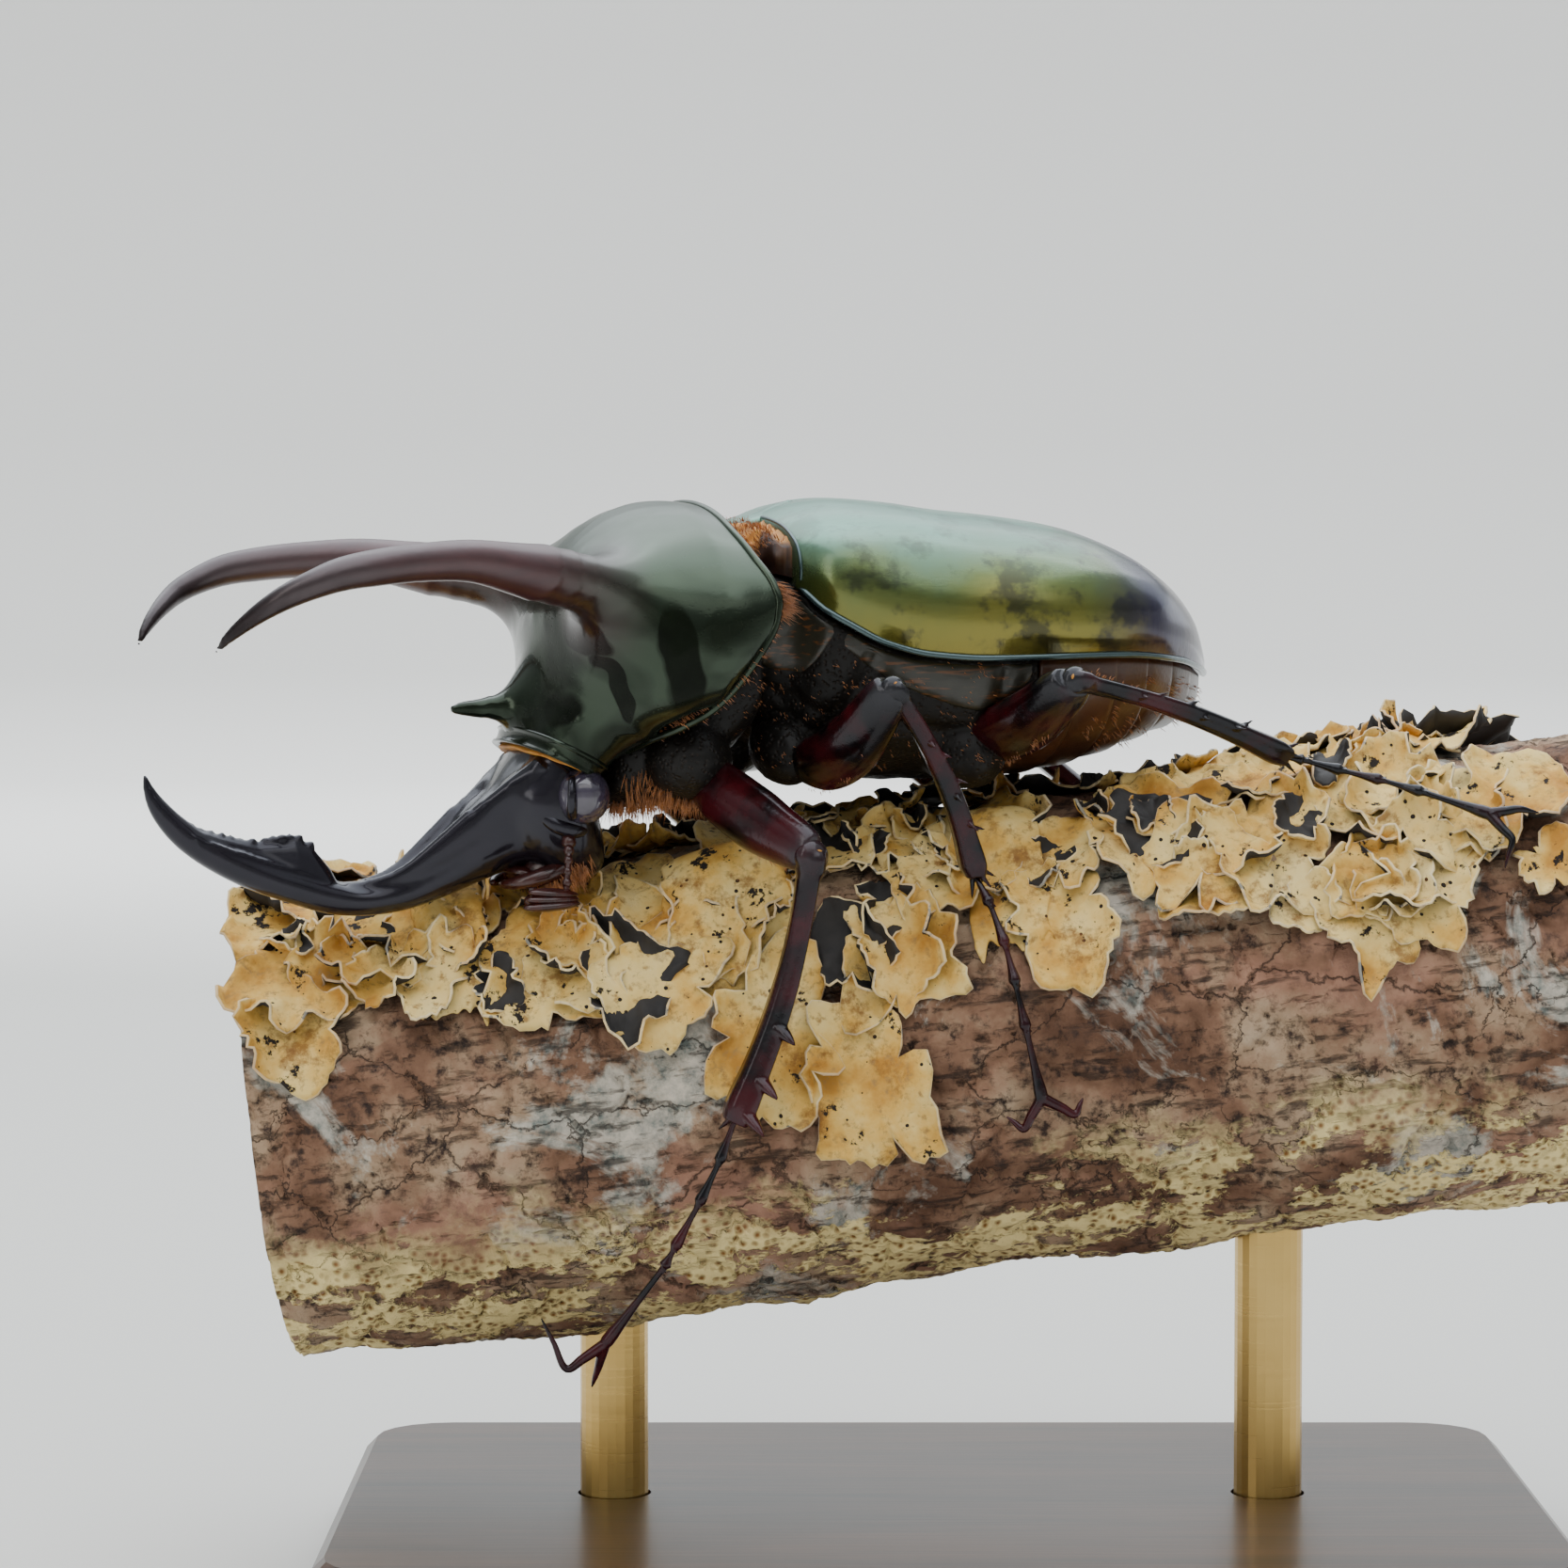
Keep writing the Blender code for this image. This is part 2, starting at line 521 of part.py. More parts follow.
LEGS = {
    ("front", LEFT): {
        "root": (-8.6, -7.6, -15.8), "knee": (-2.1, -25.5, -23.8), "ankle": (-8.5, -21.3, -50.1),
        "sag": 0.6, "bow": (1.3, 0, 0),
        "foot": [(-9.9, -20.8, -54.1), (-11.8, -20.2, -58.2), (-14.0, -19.2, -62.6), (-14.8, -18.7, -64.3),
                 (-20.2, -15.5, -72.5)],
        "claws": [(-23.4, -14.6, -74.5), (-20.2, -14.4, -74.6)],
        "tips": [(-26.0, -14.4, -69.4), (-20.6, -13.6, -76.6)]},
    ("middle", LEFT): {
        "root": (2.0, -9.6, -16.0), "knee": (6.2, -25.5, -8.0), "ankle": (16.2, -22.6, -26.6),
        "sag": 2.6, "bow": (1.2, 0, 0.3),
        "foot": [(17.0, -24.6, -29.4), (17.8, -26.6, -33.3), (18.3, -28.0, -37.0), (19.0, -29.0, -41.4),
                 (20.6, -29.4, -48.5)],
        "claws": [(18.9, -28.6, -51.1), (23.8, -30.0, -49.7)],
        "tips": [(17.5, -27.6, -49.9), (24.6, -30.0, -48.1)]},
    ("hind", LEFT): {
        "root": (19.4, -10.5, -14.4), "knee": (24.2, -28.0, -7.4), "ankle": (48.2, -26.2, -15.3),
        "sag": 1.4, "bow": (0, 0, 0.9),
        "foot": [(49.8, -26.9, -15.6), (53.0, -29.2, -16.6), (56.1, -31.8, -17.5), (59.2, -34.6, -18.6),
                 (64.4, -39.4, -20.7)],
        "claws": [(65.5, -41.2, -23.0), (66.8, -40.2, -20.1)],
        "tips": [(64.5, -41.6, -25.8), (68.8, -40.6, -20.5)]},
    ("front", RIGHT): {
        "root": (-8.6, 7.6, -15.8), "knee": (8.0, 22.5, -25.4), "ankle": on_perch(-7.0, -96, 3.6),
        "sag": 0.6, "bow": (0, 1.0, 0.5),
        "foot": [on_perch(-9.0, -104, 2.6), on_perch(-11.5, -113, 2.4), on_perch(-14.5, -122, 2.4),
                 on_perch(-15.6, -126, 2.4), on_perch(-20.0, -143, 2.8)],
        "claws": [on_perch(-23.4, -146, 2.6), on_perch(-20.5, -151, 2.6)],
        "tips": [on_perch(-25.6, -141, 1.0), on_perch(-22.0, -156, 1.0)]},
    ("middle", RIGHT): {
        "root": (2.0, 9.6, -16.0), "knee": (13.0, 25.5, -7.6), "ankle": on_perch(19.0, -62, 3.8),
        "sag": 2.2, "bow": (1.0, 0.6, 0.3),
        "foot": [on_perch(20.2, -69, 3.0), on_perch(21.4, -78, 2.6), on_perch(22.4, -86, 2.4),
                 on_perch(23.0, -95, 2.4), on_perch(25.5, -111, 2.8)],
        "claws": [on_perch(23.4, -118, 2.4), on_perch(28.8, -114, 2.4)],
        "tips": [on_perch(21.0, -116, 1.0), on_perch(30.6, -111, 1.0)]},
    ("hind", RIGHT): {
        "root": (19.4, 10.5, -14.4), "knee": (27.5, 27.6, -7.2), "ankle": on_perch(26.0, -44, 4.4),
        "sag": 1.4, "bow": (0.4, 0, 0.9),
        "foot": [on_perch(28.0, -46, 3.4), on_perch(32.2, -50, 2.6), on_perch(36.0, -54, 2.4),
                 on_perch(40.0, -58, 2.4), on_perch(46.6, -66, 2.8)],
        "claws": [on_perch(48.0, -72, 2.4), on_perch(49.8, -68, 2.4)],
        "tips": [on_perch(46.0, -77, 1.0), on_perch(52.4, -67, 1.0)]},
}
FEMUR_WIDTH = {"front": 6.4, "middle": 6.3, "hind": 7.4}
TIBIA_WIDTH = {"front": 3.3, "middle": 2.7, "hind": 2.9}
LIMB_THICKNESS = 0.66


def leg_name(which, side, part):
    return f"leg_{which}_{SIDE_NAMES[side]}_{part}"


def leg_points(which, side):
    leg = LEGS[which, side]
    root, knee, ankle = (Vector(leg[key]) for key in ("root", "knee", "ankle"))
    across = (knee - root).cross(ankle - knee).cross(knee - root).normalized()
    return root, knee, ankle, across


def femur(which, side, grow=0.0):
    """The thick upper leg: broad from its root to its middle, flattened, narrower at the knee."""
    root, knee, ankle, across = leg_points(which, side)
    width = FEMUR_WIDTH[which]
    rows = []
    for share, size in ((0.0, 0.50), (0.1, 0.70), (0.3, 0.96), (0.55, 1.0), (0.78, 0.86), (0.93, 0.66),
                        (1.0, 0.50)):
        at = root.lerp(knee, share) - Vector((0, 0, LEGS[which, side]["sag"] * math.sin(math.pi * share)))
        rows.append((*at, width * size, width * size * LIMB_THICKNESS))
    return tube(leg_name(which, side, "femur"), rows, 12, across, grow=grow)


def tibia_rows(which, side):
    root, knee, ankle, across = leg_points(which, side)
    outer = (knee - root).normalized()
    outer = (outer - (ankle - knee).normalized() * outer.dot((ankle - knee).normalized())).normalized()
    width = TIBIA_WIDTH[which]
    start = knee - (ankle - knee).normalized() * 0.6
    rows = []
    for share, size in ((0.0, 0.55), (0.05, 0.82), (0.12, 0.78), (0.3, 0.8), (0.55, 0.95), (0.8, 1.05),
                        (0.94, 1.15), (1.0, 0.95)):
        at = start.lerp(ankle, share) + Vector(LEGS[which, side]["bow"]) * math.sin(math.pi * share)
        rows.append((*at, width * size, width * size * 0.7))
    return rows, outer


def tibia(which, side, grow=0.0):
    """The lower leg with its outer teeth or spines and the spurs at its end."""
    rows, outer = tibia_rows(which, side)
    body = tube(leg_name(which, side, "tibia"), rows, 10, outer, grow=grow)
    if grow:
        return body
    along = (Vector(rows[-1][:3]) - Vector(rows[0][:3])).normalized()
    sidewise = along.cross(outer)
    spines = []
    if which == "front":
        teeth = ((0.66, 2.0, 0.55), (0.84, 2.3, 0.6), (0.955, 2.6, 0.65))
        for share, reach, lean in teeth:
            at = Vector(through(rows, 101)[int(share * 100)][:3])
            spines.append(cone("tooth", at, at + outer * (reach + 1.2) + along * reach * lean, 1.0))
        end = Vector(rows[-2][:3])
        spines.append(cone("spur", end, end - outer * 2.2 + along * 2.4, 0.6))
    else:
        for share, reach, way in ((0.34, 1.7, 0.3), (0.5, 1.9, -0.3), (0.7, 2.1, 0.3)):
            at = Vector(through(rows, 101)[int(share * 100)][:3])
            tip = at + (outer + sidewise * way) * (reach + 0.6) + along * reach * 0.7
            spines.append(cone("spine", at, tip, 0.5, 5))
        end = Vector(rows[-2][:3])
        for out, aside, reach in ((1.0, 0.3, 2.8), (-0.5, 0.7, 3.4), (-0.5, -0.7, 3.0)):
            tip = end + (outer * out + sidewise * aside) * 1.7 + along * reach
            spines.append(cone("spur", end, tip, 0.6, 5))
    return boolean(body, spines, "UNION")


def foot(which, side, grow=0.0):
    """The five-jointed foot: four short joints, the long claw joint and its two hooks."""
    leg = LEGS[which, side]
    ankle = Vector(leg["ankle"])
    joints = [ankle] + [Vector(point) for point in leg["foot"]]
    reach = joints[-1] - ankle
    spread = Vector(leg["claws"][1]) - Vector(leg["claws"][0])
    across = reach.cross(spread).cross(reach)
    rows = []
    for a, b in zip(joints, joints[1:]):
        last = b is joints[-1]
        end_size = 1.7 if last else 1.45
        for share, size in ((0.0, 0.95), (0.2, 0.8), (0.78, end_size - 0.1), (1.0, end_size)):
            if share == 0.0 and a is not joints[0]:
                continue
            rows.append((*a.lerp(b, share), size, size))
    body = tube(leg_name(which, side, "foot"), rows, 6, across, grow=grow)
    if grow:
        return body
    hooks = []
    base = joints[-1] - (joints[-1] - joints[-2]).normalized() * 0.5
    for bend, tip in zip(map(Vector, leg["claws"]), map(Vector, leg["tips"])):
        hook = [(*base, 1.1, 1.1), (*base.lerp(bend, 0.6), 0.95, 0.95), (*bend, 0.75, 0.75),
                (*(bend.lerp(tip, 0.55)), 0.55, 0.55), (*tip, 0.25, 0.25)]
        hooks.append(tube("hook", through(hook, 7), 6, (bend - base).cross(tip - bend)))
    return boolean(body, hooks, "UNION")


def build_leg(which, side):
    """One leg in three nodes, each let into the one above with a gap all round."""
    upper = boolean(femur(which, side), [tibia(which, side, grow=GAP)], "DIFFERENCE")
    lower = boolean(tibia(which, side), [foot(which, side, grow=GAP)], "DIFFERENCE")
    return upper, lower, foot(which, side)


# The branch and its stand

def bark(along, angle):
    """How far the bark stands out of the branch's mean radius at a place."""
    waves = ((0.55, 1, 0.045, 0.4), (0.35, 3, 0.11, 2.1), (0.28, 5, -0.19, 4.0), (0.2, 8, 0.33, 1.2))
    return sum(size * math.sin(turns * angle + along * rate + start) for size, turns, rate, start in waves)


# Leaves of lichen on the bark: how far along, degrees from the top to the near side, size, curl
LICHEN = [(-57, -10, 6.4, 2.6), (-50, 38, 7.0, 1.6), (-40, -28, 5.6, 2.2), (-22, 62, 6.8, 1.0), (8, 40, 6.4, 0.5),
          (33, 50, 6.8, 1.0), (46, -4, 5.4, 1.4), (59, 0, 6.2, 2.6), (64, 38, 6.6, 1.4), (65, -40, 5.8, 2.0)]
LICHEN_HEIGHT = 1.9
LICHEN_THICKNESS = 1.0


def lichen(along, angle, size, curl):
    """One leaf of lichen: sunk in the bark at its middle, its edge lifted and most at its upper side."""
    rings = []
    for share, top in ((0.5, False), (1.0, False), (1.0, True), (0.5, True)):
        ring = []
        for k in range(9):
            turn = 2 * math.pi * k / 9
            reach = size * share * (1 + 0.16 * math.sin(3 * turn + along))
            place = angle + math.degrees(reach * math.sin(turn) / PERCH_RADIUS)
            lifted = curl * (0.3 + 0.7 * max(0.0, -math.sin(turn))) if share == 1.0 else 0.0
            sunk = 0.0 if top else LICHEN_THICKNESS if share == 1.0 else 2 * LICHEN_HEIGHT
            ring.append(on_perch(along + reach * math.cos(turn), place, LICHEN_HEIGHT + lifted - sunk))
        rings.append(ring)
    return loft("lichen", rings)


def perch():
    """The cut branch with its bark's swells and the lichen's larger leaves."""
    rings = []
    stations = 20
    for i in range(stations):
        along = PERCH_START + (PERCH_END - PERCH_START) * i / (stations - 1)
        ring = []
        for k in range(24):
            angle = 2 * math.pi * k / 24
            out = PERCH_UP * math.cos(angle) + PERCH_NEAR * math.sin(angle)
            ring.append(PERCH_AT + PERCH_ALONG * along + out * (PERCH_RADIUS + bark(along, angle)))
        rings.append(ring)
    return boolean(loft("perch_branch", rings), [lichen(*leaf) for leaf in LICHEN], "UNION")


def rod(number, grow=0.0):
    """An upright metal rod, let into the branch above and the base below."""
    at = PERCH_AT + PERCH_ALONG * ROD_PLACES[number]
    bottom = -BODY_HEIGHT + BASE_THICKNESS - ROD_SUNK
    top = at.z - PERCH_RADIUS / math.cos(PERCH_RISE) + ROD_SUNK + BARK_SWELL
    bm = bmesh.new()
    place = Matrix.Translation(Vector((at.x, at.y, (bottom + top) / 2)) * MM)
    radius = (ROD_DIAMETER / 2 + grow) * MM
    bmesh.ops.create_cone(bm, cap_ends=True, segments=24, radius1=radius, radius2=radius,
                          depth=(top - bottom + 2 * grow) * MM, matrix=place)
    return finished(("stand_rod_front", "stand_rod_back")[number], bm)


def base():
    """The flat base: a slab with round corners and a softened upper edge, square to the branch."""
    bm = bmesh.new()
    turn = Matrix.Rotation(PERCH_TURN, 4, "Z")
    low = -BODY_HEIGHT
    at = Matrix.Translation(Vector((STAND_CENTRE.x, STAND_CENTRE.y, low + BASE_THICKNESS / 2)) * MM) @ turn
    size = Matrix.Diagonal((BASE_LENGTH * MM, BASE_DEPTH * MM, BASE_THICKNESS * MM, 1.0))
    bmesh.ops.create_cube(bm, size=1.0, matrix=at @ size)
    upright = [e for e in bm.edges if abs(e.verts[0].co.z - e.verts[1].co.z) > 1e-4]
    bmesh.ops.bevel(bm, geom=upright, offset=BASE_CORNER * MM, affect="EDGES", segments=5, profile=0.5,
                    material=-1)
    upper = [e for e in bm.edges if min(v.co.z for v in e.verts) > (low + BASE_THICKNESS - 0.01) * MM]
    bmesh.ops.bevel(bm, geom=upper, offset=BASE_CHAMFER * MM, affect="EDGES", segments=1, profile=0.5,
                    material=-1)
    return finished("stand_base", bm)


# Building

def clear_scene():
    for obj in list(bpy.data.objects):
        bpy.data.objects.remove(obj)


def give(objects, finish):
    for obj in objects:
        obj.data.materials.clear()
        obj.data.materials.append(finish)
        obj.data.shade_smooth()
        obj.data.set_sharp_from_angle(angle=math.radians(40))


def build():
    clear_scene()
    finishes = {
        "wing case": material("bronze green wing case", "4A5230", 0.22, 0.35),
        "shield": material("black green shell", "161C18", 0.18, 0.2),
        "horn": material("black brown horn", "1A1010", 0.25),
        "head": material("black shell", "111216", 0.22),
        "leg": material("dark red leg", "24090B", 0.3),
        "under": material("black underside", "17120F", 0.5),
        "abdomen": material("brown belly", "3A1F12", 0.4),
        "eye": material("dark eye", "15121A", 0.08),
        "feeler": material("red brown feeler", "4A2418", 0.4),
        "bark": material("lichened bark", "8B745C", 0.9),
        "base": material("dark stained wood", "3B2A20", 0.5),
        "rod": material("brushed brass", "A88C56", 0.35, 1.0),
    }
    cases = [boolean(elytron(side), [scutellum(grow=GAP)], "DIFFERENCE") for side in SIDE_NAMES]
    give(cases + [scutellum()], finishes["wing case"])

    shield = pronotum()
    cutters = [side_horn(side, grow=GAP) for side in SIDE_NAMES] + [middle_horn(grow=GAP)]
    give([boolean(shield, cutters, "DIFFERENCE")], finishes["shield"])
    give([side_horn(side) for side in SIDE_NAMES] + [middle_horn()], finishes["horn"])

    fore = boolean(fore_thorax(), [femur("front", side, grow=GAP) for side in SIDE_NAMES], "DIFFERENCE")
    sockets = [femur(which, side, grow=GAP) for which in ("middle", "hind") for side in SIDE_NAMES]
    hind = boolean(hind_thorax(), sockets, "DIFFERENCE")
    give([fore, hind], finishes["under"])
    belly = boolean(abdomen(), [femur("hind", side, grow=GAP) for side in SIDE_NAMES], "DIFFERENCE")
    give([belly], finishes["abdomen"])

    sides = list(SIDE_NAMES)
    mouth = boolean(mouthparts(), [antenna(side, grow=GAP) for side in sides], "DIFFERENCE")
    skull = boolean(head(), [eye(side, grow=GAP) for side in sides], "DIFFERENCE")
    skull = boolean(skull, [head_horn(grow=GAP)] + [antenna(side, grow=GAP) for side in sides], "DIFFERENCE")
    mouth = boolean(mouth, [head(), head_horn(grow=GAP)], "DIFFERENCE")
    give([skull, head_horn()], finishes["head"])
    give([eye(side) for side in sides], finishes["eye"])
    give([antenna(side) for side in sides] + [mouth], finishes["feeler"])

    for which in ("front", "middle", "hind"):
        for side in sides:
            give(build_leg(which, side), finishes["leg"])

    branch = boolean(perch(), [rod(number, grow=GAP) for number in (0, 1)], "DIFFERENCE")
    slab = boolean(base(), [rod(number, grow=GAP) for number in (0, 1)], "DIFFERENCE")
    give([branch], finishes["bark"])
    give([slab], finishes["base"])
    give([rod(number) for number in (0, 1)], finishes["rod"])

    centre = bpy.data.objects.new("beetle_reference", None)
    bpy.context.scene.collection.objects.link(centre)
    centre.location = Vector((-STAND_CENTRE.x, -STAND_CENTRE.y, BODY_HEIGHT)) * MM
    for obj in bpy.context.scene.collection.objects:
        if obj is not centre:
            obj.parent = centre


build()
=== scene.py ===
# %% [markdown]
# A male caucasus beetle in Blender. The real one is a large rhinoceros beetle: a hard, glossy body
# with two long horns on its shield, one on its head, and six thin, spiny legs that grip a branch.
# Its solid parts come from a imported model, the frame, and every piece made here is fitted to it, so
# we load the frame first.

# %% The frame
import random
from math import atan2, copysign, cos, degrees, exp, pi, radians, remainder, sin

import bmesh
import bpy
from mathutils import Matrix, Vector, noise
from mathutils.bvhtree import BVHTree


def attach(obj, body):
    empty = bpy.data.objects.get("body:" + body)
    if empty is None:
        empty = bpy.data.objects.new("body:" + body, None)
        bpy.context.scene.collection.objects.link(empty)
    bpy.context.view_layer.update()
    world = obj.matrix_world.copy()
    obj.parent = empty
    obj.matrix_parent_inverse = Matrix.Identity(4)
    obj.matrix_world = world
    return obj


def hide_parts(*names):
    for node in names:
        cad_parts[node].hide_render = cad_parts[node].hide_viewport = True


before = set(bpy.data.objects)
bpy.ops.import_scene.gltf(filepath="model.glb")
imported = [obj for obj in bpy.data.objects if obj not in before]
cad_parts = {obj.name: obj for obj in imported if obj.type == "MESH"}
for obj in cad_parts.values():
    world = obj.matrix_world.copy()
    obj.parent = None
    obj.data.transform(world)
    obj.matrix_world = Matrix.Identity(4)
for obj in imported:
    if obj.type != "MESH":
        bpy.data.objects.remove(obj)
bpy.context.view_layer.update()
print("CAD nodes:", len(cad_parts))

# %% [markdown]
# The beetle is easiest to shape in millimetres, from a point on its midline under the middle of its
# back: its head points to -X, its left side to -Y and its back to +Z. One matrix takes those
# numbers to the frame's metres, where the origin is under the display base.

# %% Millimetres and the beetle's own place
MM = 0.001
BEETLE_AT = Vector((-21.06, 1.70, 100.0))
HOME = Matrix.Translation(BEETLE_AT * MM) @ Matrix.Scale(MM, 4)
LEFT, RIGHT = -1.0, 1.0
SIDE_NAMES = {LEFT: "left", RIGHT: "right"}
print("beetle's reference point:", [round(v, 4) for v in HOME.translation])

# %% [markdown]
# The camera stands in front of the beetle's left shoulder, level with its back, about half a metre
# away, with a long lens, which keeps the horns from looking stretched. Its angle and its lens were
# set until the model's outline lay on the photograph's.

# %% The camera
CAMERA_AZIMUTH, CAMERA_ELEVATION = -20.0, 3.0
CAMERA_AT = HOME @ Vector((-167.2, -471.5, 7.8))
SENSOR_WIDTH = 36.0
FOCAL_PIXELS, PHOTO_PIXELS = 5250.0, 1667.0


def way_out(azimuth, elevation):
    """The way out from the beetle at an angle from the front (-Y) and one above level, in degrees."""
    a, e = radians(azimuth), radians(elevation)
    return Vector((sin(a) * cos(e), -cos(a) * cos(e), sin(e)))


def put(name, data, at=None, back=None):
    """Adds an object to the scene; a camera or a lamp also gets a place and the way its back faces."""
    obj = bpy.data.objects.new(name, data)
    bpy.context.scene.collection.objects.link(obj)
    if back:
        obj.location = at
        obj.rotation_mode = "QUATERNION"
        obj.rotation_quaternion = back.to_track_quat("Z", "Y")
    return obj


camera = put("camera", bpy.data.cameras.new("camera"), CAMERA_AT, way_out(CAMERA_AZIMUTH, CAMERA_ELEVATION))
camera.data.sensor_width = SENSOR_WIDTH
camera.data.lens = SENSOR_WIDTH * FOCAL_PIXELS / PHOTO_PIXELS
camera.data.clip_start = 0.01
bpy.context.scene.camera = camera
print("camera at", [round(v, 3) for v in CAMERA_AT], "lens", round(camera.data.lens, 1), "mm")

# %% [markdown]
# A plain pale floor and soft studio light. The floor is a wide disc whose edge turns up into a low
# wall, spun from one bent line, so no horizon shows from any side. Glossy shell shows whatever
# lights it: a large soft light above draws the pale sheen along the back, weaker ones step down to
# the front so that the sheen fades instead of ending, a narrow one at the front left draws the long
# highlights on horns and legs, and the last lights the wall.

# %% Floor and lights
def hex_linear(text):
    """An sRGB hex colour as the linear numbers that Blender's sockets take."""
    parts = [int(text[i:i + 2], 16) / 255 for i in (0, 2, 4)]
    return [p / 12.92 if p <= 0.04045 else ((p + 0.055) / 1.055) ** 2.4 for p in parts] + [1.0]


def feed(node, inputs):
    """Sets a node's inputs: each is a number, an sRGB hex colour or a node's output, which is linked."""
    for name, value in inputs.items():
        in_use = {one.name: one for one in node.inputs if one.enabled} if isinstance(name, str) else node.inputs
        if isinstance(value, bpy.types.NodeSocket):
            node.id_data.links.new(value, in_use[name])
        else:
            in_use[name].default_value = hex_linear(value) if isinstance(value, str) else value


def add(kind, inputs, out=None, stops=(), span=(), **settings):
    """Adds a node to the tree in hand; returns the output named, or else its first one in use.

    A Mix node mixes colours unless told otherwise, stops are a ramp's, and span a Map Range's limits.
    """
    node = tree.nodes.new("ShaderNode" + kind)
    if kind == "Mix":
        node.data_type = "RGBA"
    for key, value in settings.items():
        setattr(node, key, value)
    feed(node, {**inputs, **dict(zip(("From Min", "From Max"), span))})
    for at, colour in stops:
        ramp = node.color_ramp.elements
        (ramp.new(at) if 0 < at < 1 else ramp[-int(at)]).color = hex_linear(colour)
    return node.outputs[out] if out else next(one for one in node.outputs if one.enabled)


def new_finish(name, colour, roughness, metallic=0.0, ior=1.5):
    """Starts a finish: gives it, its node tree, its shader and the output that says where a point is."""
    finish = bpy.data.materials.new(name)
    finish.use_nodes = True
    nodes = finish.node_tree.nodes
    shader = nodes["Principled BSDF"]
    feed(shader, {"Base Color": colour, "Roughness": roughness, "Metallic": metallic, "IOR": ior})
    return finish, finish.node_tree, shader, nodes.new("ShaderNodeTexCoord").outputs["Object"]


def face_out(bm):
    """Turns the faces of a closed bmesh outwards."""
    bmesh.ops.recalc_face_normals(bm, faces=bm.faces)


paper, tree, shader, where = new_finish("matt white studio paper", "D9D7D2", 0.9)
grain = add("TexNoise", {"Scale": 900.0})
paper_bump = add("Bump", {"Strength": 0.3, "Distance": 0.0001, "Height": grain})
feed(shader, {"Normal": paper_bump})

FLOOR_PROFILE = ((0, 0), (1.6, 0), (2.1, 0.03), (2.5, 0.16), (2.8, 0.42), (2.95, 0.8))
bm = bmesh.new()
profile = [bm.verts.new((x, 0, z)) for x, z in FLOOR_PROFILE]
edges = [bm.edges.new(pair) for pair in zip(profile, profile[1:])]
bmesh.ops.spin(bm, geom=profile + edges, cent=(0, 0, 0), axis=(0, 0, 1), angle=2 * pi, steps=64, use_merge=True)
bmesh.ops.remove_doubles(bm, verts=bm.verts, dist=1e-5)
face_out(bm)
floor = put("studio_floor", bpy.data.meshes.new("studio_floor"))
bm.to_mesh(floor.data)
bm.free()
if floor.data.polygons[0].normal.z < 0:
    floor.data.flip_normals()
floor.data.shade_smooth()
floor.data.materials.append(paper)

world = bpy.data.worlds.new("soft studio")
world.use_nodes = True
bpy.context.scene.world = world
tree = world.node_tree
# The sky brightens from the horizon up, as in a light tent, so gloss fades down every flank.
way_up = add("TexCoord", {}, out="Generated")
up_share = add("SeparateXYZ", {"Vector": way_up}, out="Z")
glow = add("MapRange", {"Value": up_share, "To Min": 0.16,
                        "To Max": 1.2}, span=(0.05, 0.95), interpolation_type="SMOOTHSTEP")
feed(tree.nodes["Background"], {"Color": "DDE4E6", "Strength": glow})


STUDIO_CENTRE = Vector((0, 0, 0.09))


def softbox(name, azimuth, elevation, distance, width, height, power, colour, aim=STUDIO_CENTRE):
    """A rectangular area light, seen from the beetle in a direction given as the camera's is."""
    lamp = bpy.data.lights.new(name, "AREA")
    lamp.shape = "RECTANGLE"
    lamp.size = width
    lamp.size_y = height
    lamp.energy = power
    lamp.color = hex_linear(colour)[:3]
    at = STUDIO_CENTRE + way_out(azimuth, elevation) * distance
    put(name, lamp, at, at - Vector(aim))


softbox("top softbox", 160, 82, 1.2, 1.4, 1.1, 12.5, "F2F8FF")
softbox("back top softbox", 165, 49, 1.4, 1.9, 0.9, 13.0, "F2F8FF")
softbox("back low softbox", 165, 26, 1.5, 1.9, 0.3, 1.7, "F2F8FF")
softbox("front top softbox", -20, 60, 1.3, 1.4, 0.6, 5.6, "FBFCFF")
softbox("front low softbox", -10, 38, 1.4, 1.4, 0.36, 1.7, "FFFCF6")
softbox("side softbox", -72, 26, 1.1, 0.24, 0.9, 1.9, "FFFBF4")
softbox("rim softbox", 118, 20, 1.1, 0.4, 0.6, 0.7, "EAF4FF")
softbox("backdrop softbox", 160, 40, 1.3, 1.6, 0.4, 36.0, "F4F8FF", aim=(1.0, 2.75, 0.2))
print("lights: 8, floor disc", 2 * FLOOR_PROFILE[-1][0], "m across")

# %% [markdown]
# Nearly every part of the beetle is a rounded body drawn out along a line: a ring of points is
# extruded from station to station and capped. Smooth curves through a few measured points say how
# high and how wide each ring is, which keeps the numbers few and the surface even.

# %% Helpers for smooth bodies
def curve(points, firm=True):
    """A smooth line through (place, value) pairs. A firm one never swings past its points."""
    places = [p[0] for p in points]
    values = [p[1] for p in points]
    steps = [(values[i + 1] - values[i]) / (places[i + 1] - places[i]) for i in range(len(points) - 1)]
    slopes = [steps[0]]
    for before, after in zip(steps, steps[1:]):
        if firm and before * after <= 0:
            slopes.append(0.0)
        elif firm:
            slopes.append(2 * before * after / (before + after))
        else:
            slopes.append((before + after) / 2)
    slopes.append(steps[-1])

    def at(place):
        place = min(max(place, places[0]), places[-1])
        i = 0
        while i < len(steps) - 1 and places[i + 1] <= place:
            i += 1
        width = places[i + 1] - places[i]
        t = (place - places[i]) / width
        return ((1 + 2 * t) * (1 - t) ** 2 * values[i] + t * (1 - t) ** 2 * width * slopes[i]
                + t * t * (3 - 2 * t) * values[i + 1] - t * t * (1 - t) * width * slopes[i + 1])
    return at


